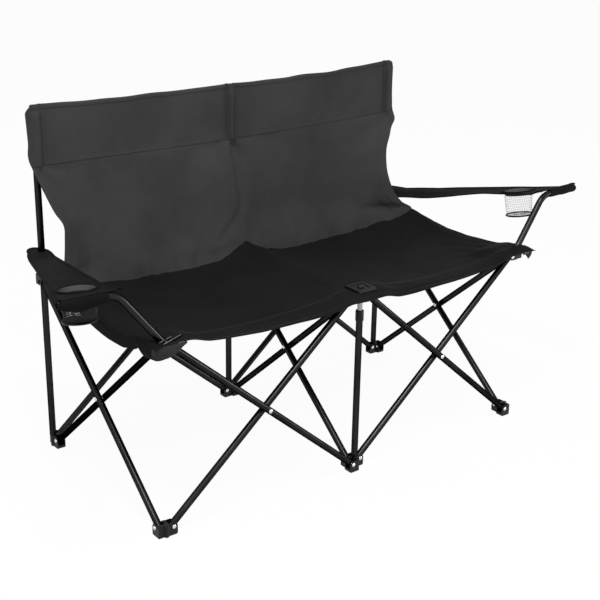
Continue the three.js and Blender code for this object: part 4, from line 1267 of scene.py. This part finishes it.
# Armrests: black cloth with bound edges, hemmed round the end of the arm tube at the front.
# Each runs back to its outer post, where a round tail lies on the slider's collar.
ARM_GRID = (44, 170)
ARM_REAR_HALF = 0.030
ARM_FRONT_HALF = 0.068
ARM_REAR_OUT = 0.010
ARM_TAIL = 0.034
ARM_SETTLE = 0.9
ARM_TAPER = 0.8
TAIL_ROUND = 0.985
ARM_SAG = 0.004
ARM_RIPPLE = 0.0014
RIPPLE_SCALE = 14.0
RIPPLE_SEED = 40.0
OVER_TUBE = (0.003, 0.034)
RIPPLE_FROM = (0.08, 0.2)
RIPPLE_TO = (0.8, 0.9)
EDGE_DROOP = {"left": 0.0, "right": 0.016}
DROOP_ACROSS = (-0.3, 1.0)
DROOP_ALONG = (0.3, 0.62)
POST_HOLE = TUBE_R + 0.0012
POST_CUT = TUBE_R + 0.0008
POST_NEAR = TUBE_R + 0.006
HEM_GRID = (40, 44)
HEM_END = 0.010
HEM_GAP = 0.0009
HEM_CLOTH = 0.0012
HEM_CLOSES = 0.9
HEM_MOUTH = 0.02
HEM_ROUND = 0.07
HEM_PLEAT = 0.0005
HEM_PLEATS = 5
HEM_PLEAT_SLANT = 14
HEM_DROOP = {"left": 0.009, "right": 0.001}
BINDING_GRID = (12, 360)
BINDING = 0.009
BINDING_H = 0.0022
BINDING_OVER = 0.0006
BINDING_AIM = 0.96
BINDING_YARNS = (0.02, 2.2)
BINDING_ACROSS = [(0.0, 0.0), (0.47, 0.0), (0.53, 1.0), (1.0, 1.0)]
BINDING_ALONG = [(0.0, 0.0), (0.47, 1.0), (0.53, 1.0), (1.0, 0.0)]
CUP_R = 0.038
CUP_NEAR = CUP_R + 0.008
CUP_BACK = 0.100
CUP_STEP = 0.05
COLLAR_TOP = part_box("back_left_slider")[1].z
ARM_BLACK = (0.005, 0.005, 0.0051)
TAPE_BLACK = (0.003, 0.003, 0.0031)

arm_cloth = woven("arm_cloth", ARM_BLACK)
binding_tape = woven("binding_tape", TAPE_BLACK)
armrests = {}


def arm_shape(side, out):
    """The armrest's plane: s from -1 at the inner edge to 1, and y from the arm tube to the tail."""
    reach = arm_lines[side]["reach"]
    hem_to = arm_lines[side]["end"] + reach * HEM_END
    hem_back = hem_to - reach * ARM_FRONT_HALF + Vector((0, TUBE_R + LAID, 0))
    rear = Vector((out * (SPAN + ARM_REAR_OUT), REAR_Y + ARM_TAIL, COLLAR_TOP + LAID))

    def arm_point(s, y):
        settled = min(max((y - hem_back.y) / (REAR_Y - hem_back.y), 0.0), 1.0)
        x = mix(hem_back.x, rear.x, settled)
        z = mix(hem_back.z, rear.z, min(settled / ARM_SETTLE, 1.0))
        past_post = max(y - (REAR_Y - ARM_TAIL), 0.0) / (2 * ARM_TAIL)
        tail_round = math.sqrt(1 - TAIL_ROUND * past_post * past_post)
        half = mix(ARM_FRONT_HALF, ARM_REAR_HALF, settled ** ARM_TAPER) * tail_round
        tilt = s * half * reach.z * (1 - settled)
        return Vector((x + out * s * half, y, z + tilt))

    return arm_point, hem_back, rear


def closed(shape):
    """Sews up a sheet whose edges meet, and turns its faces outwards."""
    bmesh.ops.remove_doubles(shape, verts=shape.verts[:], dist=TOUCH)
    bmesh.ops.recalc_face_normals(shape, faces=shape.faces[:])
    return shape


def fold_along(piece, anchor):
    """Gives a piece of cloth its own copy of its mesh."""
    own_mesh(piece)
    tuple(anchor)


for side, out in SIDES.items():
    arm_point, hem_back, rear = arm_shape(side, out)
    tube_y = arm_lines[side]["end"].y
    body = f"{side}_arm_leg"
    anchor = (0, tube_y, 0)
    cup_y = hem_back.y + CUP_BACK
    step_y = CUP_STEP * (rear.y - hem_back.y)
    along_arm = (arm_point(0, cup_y + step_y) - arm_point(0, cup_y - step_y)).normalized()
    across_arm = arm_point(out * 0.5, cup_y) - arm_point(-out * 0.5, cup_y)
    cup_up = across_arm.cross(along_arm).normalized()
    cup_frame = Matrix((along_arm.cross(cup_up), along_arm, cup_up)).transposed().to_4x4()
    cup_frame.translation = arm_point(0, cup_y)
    armrests[side] = {"body": body, "anchor": anchor, "cup": cup_frame}
    arm_long = rear.y - tube_y

    def arm_surface(u, v):
        """The cloth itself: over the arm tube, down behind it and back to the tail."""
        s = out * (2 * u - 1)
        y = mix(tube_y, rear.y, v)
        point = arm_point(s, y)
        over_tube = (TUBE_R + 2 * HEM_GAP) * (1 - between(y - tube_y, *OVER_TUBE))
        sag = ARM_SAG * (1 - s * s) * math.sin(math.pi * v)
        ripple = uneven(point.x, point.y, [(ARM_RIPPLE, RIPPLE_SCALE, 1.0, RIPPLE_SEED + out)])
        point.z += over_tube + (ripple - sag) * between(v, *RIPPLE_FROM) * (1 - between(v, *RIPPLE_TO))
        point.z -= EDGE_DROOP[side] * between(-s, *DROOP_ACROSS) * between(v, *DROOP_ALONG)
        return point

    sheet = cloth_grid(*ARM_GRID, arm_surface, 2 * ARM_FRONT_HALF, arm_long)
    from_cup = cup_frame.inverted()
    post_at = Vector((out * SPAN, REAR_Y, 0))
    holes = []
    for face in sheet.faces:
        centre = face.calc_center_median()
        at_cup = (from_cup @ centre).to_2d().length < CUP_R
        at_post = (centre - post_at).to_2d().length < POST_CUT
        if at_cup or at_post:
            holes.append(face)
    bmesh.ops.delete(sheet, geom=holes, context="FACES")
    for vert in sheet.verts:
        if not vert.is_boundary:
            continue
        spot = from_cup @ vert.co
        from_post = (vert.co - post_at).to_2d()
        if spot.to_2d().length < CUP_NEAR:
            on_rim = spot.to_2d().normalized() * CUP_R
            vert.co = cup_frame @ Vector((*on_rim, spot.z))
        elif from_post.length < POST_NEAR:
            on_hole = from_post.normalized() * POST_HOLE
            vert.co = Vector((post_at.x + on_hole.x, post_at.y + on_hole.y, vert.co.z))
    rest, area = sewn(f"{side}_armrest_cloth", sheet, arm_cloth, body, "seat_fabric", f"{side}_armrest")
    fold_along(rest, anchor)

    def binding_point(u, w):
        """Round the tape, and from the inner edge round the tail to the outer edge."""
        around = 2 * math.pi * u
        v = along_stops(BINDING_ALONG, w)
        point = arm_surface(along_stops(BINDING_ACROSS, w), v)
        inward = (arm_surface(0.5, min(v, BINDING_AIM)) - point).normalized()
        flat = inward * (BINDING / 2 * (1 - math.cos(around)) - BINDING_OVER)
        return point + flat + Vector((0, 0, BINDING_H * math.sin(around)))

    strip = cloth_grid(*BINDING_GRID, binding_point, BINDING_YARNS[0], BINDING_YARNS[1] * arm_long)
    binding = add_piece(f"{side}_armrest_binding", closed(strip), binding_tape, body, "seat_fabric")
    fold_along(binding, anchor)

    bend_set = ARM_BENDS[1] * math.tan(arm_lines[side]["turn"] / 2)
    hem_from = arm_lines[side]["bend"] + arm_lines[side]["reach"] * (bend_set + CLOTH_GAP)
    hem_to = arm_lines[side]["end"] + arm_lines[side]["reach"] * HEM_END

    def hem_point(u, v):
        """Round the hem, and outwards along the arm tube to its closed end."""
        around = 2 * math.pi * u
        radius = (TUBE_R + HEM_GAP) * max(rounded_end(v, HEM_CLOSES), HEM_MOUTH)
        pleats = math.cos(HEM_PLEATS * around + HEM_PLEAT_SLANT * v)
        radius += HEM_PLEAT * pleats * math.sin(math.pi * v)
        droop = HEM_DROOP[side] * max(-math.cos(around), 0.0) * math.sin(math.pi * v)
        ring = Vector((0, math.sin(around) * radius, math.cos(around) * radius - droop))
        return hem_from.lerp(hem_to, v) + ring

    hem_long = (hem_to - hem_from).length
    strip = closed(cloth_grid(*HEM_GRID, hem_point, HEM_ROUND, hem_long))
    hem = sewn(f"{side}_armrest_hem", strip, arm_cloth, body, "seat_fabric", thickness=HEM_CLOTH)[0]
    fold_along(hem, anchor)

# Cup holders: a net bag of knotted cord hangs in a round hole of each armrest, under a bound rim.
# A cloth collar joins both, pale as painted light on the far inner wall of the hole, and a plastic hoop
# keeps the bottom open.
# The left net is gathered and lies close, and its cord is dark as painted shade inside its cup; the right
# net's pale cord is its own colour.
CUP_DEPTH = 0.064
CUP_FLOOR_R = 0.033
CUP_ROUND = 2 * math.pi * CUP_R
RIM_GRID = (64, 10)
RIM_W = 0.008
RIM_H = 0.0017
RIM_IN = 0.0012
RIM_OVER = 0.0006
HOOP_R = 0.0023
HOOP_SIDES = 64
HOOP_ANGLES = range(0, 361, 36)
HOOP_GAP = 0.0003
NET_FLOOR = 0.72
NET_TWIST = 0.1
NET_SWAY = 0.05
NET_SWAYS = 3
NET_SHIFT = 1.0
NET_TOP_R = CUP_R - 0.0012
NET_CLOSES = 0.97
COLLAR_GRID = (64, 8)
COLLAR_R = CUP_R - 0.0026
COLLAR_DEEP = 0.011
COLLAR_CLOTH = 0.001
# The collar's pale colour is painted light, for the lit far inner wall of the hole.
COLLAR_PAINTED_LIGHT = (0.085, 0.085, 0.086)
NETS = {
    # Painted shade: the left cord is near black for the shade in its cup, and the right one keeps the net's
    # pale grey.
    "left": {"cells": (84, 40), "strand": 0.0012, "cord": (0.03, 0.03, 0.0305)},
    "right": {"cells": (34, 14), "strand": 0.0004, "cord": (0.25, 0.25, 0.255)},
}

# Painted light: the collar cloth is made pale to look lit inside the hole.
collar_cloth_painted_light = woven("collar_cloth_painted_light", COLLAR_PAINTED_LIGHT)


def round_spot(radius, turn, height):
    """A point round the middle of the cup, from a share of a full turn."""
    angle = 2 * math.pi * turn
    return Vector((radius * math.cos(angle), radius * math.sin(angle), height))


def rim_point(u, v):
    across = 2 * math.pi * v
    radius = CUP_R + RIM_W / 2 - RIM_IN + (RIM_W / 2 + RIM_OVER) * math.cos(across)
    return round_spot(radius, u, LAID + RIM_H * math.sin(across))


def collar_point(u, v):
    return round_spot(COLLAR_R, u, CLOTH / 2 - COLLAR_DEEP * v)


def net_point(u, v):
    """Round the net with a twist, down its side and in across its floor."""
    down = min(v / NET_FLOOR, 1.0)
    inward = max(v - NET_FLOOR, 0.0) / (1 - NET_FLOOR)
    turn = u + NET_TWIST * v
    radius = mix(NET_TOP_R, CUP_FLOOR_R, down) * (1 - NET_CLOSES * inward)
    sway = math.cos(2 * math.pi * NET_SWAYS * turn + NET_SHIFT)
    radius *= 1 + NET_SWAY * math.sin(math.pi * down) * sway
    return round_spot(radius, turn, -CUP_DEPTH * down)


def hung(shape, made):
    """Sets a shape made round the middle of a cup in its armrest."""
    bmesh.ops.transform(shape, matrix=made["cup"], verts=shape.verts[:])
    return shape


hoop_mid = CUP_FLOOR_R + HOOP_GAP + HOOP_R
turns = [math.radians(angle) for angle in HOOP_ANGLES]
hoop_profile = [(hoop_mid + HOOP_R * math.cos(a), HOOP_R * math.sin(a) - CUP_DEPTH) for a in turns]
for side, made in armrests.items():
    body = made["body"]
    anchor = made["anchor"]
    rim = hung(closed(cloth_grid(*RIM_GRID, rim_point, CUP_ROUND, 2 * RIM_W)), made)
    rim_piece = add_piece(f"{side}_cup_binding", rim, binding_tape, body, "seat_fabric", f"{side}_cup_rim")
    fold_along(rim_piece, anchor)

    tape = hung(closed(cloth_grid(*COLLAR_GRID, collar_point, CUP_ROUND, COLLAR_DEEP)), made)
    collar = sewn(f"{side}_cup_collar", tape, collar_cloth_painted_light, body, "seat_fabric", thickness=COLLAR_CLOTH)[0]
    fold_along(collar, anchor)

    net_cord = grained(
        f"{side}_net_cord", NETS[side]["cord"], gloss=(0.6, 0.75), grain=2200.0, relief=0.0001, patch=90.0,
        shine=0.2,
    )
    cells = cloth_grid(*NETS[side]["cells"], net_point, CUP_ROUND, CUP_DEPTH + CUP_FLOOR_R)
    net = hung(closed(cells), made)
    netting = add_piece(f"{side}_cup_netting", net, net_cord, body, "grey_net", f"{side}_cup_net")
    strands = netting.modifiers.new("strands", "WIREFRAME")
    strands.thickness = NETS[side]["strand"]
    strands.use_replace = True
    fold_along(netting, anchor)

    hoop = hung(turned(hoop_profile, (0, 0, 0), WAYS["Z"], HOOP_SIDES), made)
    ring = f"{side}_cup_ring"
    hoop_piece = add_piece(f"{side}_cup_hoop", hoop, moulded_plastic, body, "black_plastic", ring)
    fold_along(hoop_piece, anchor)
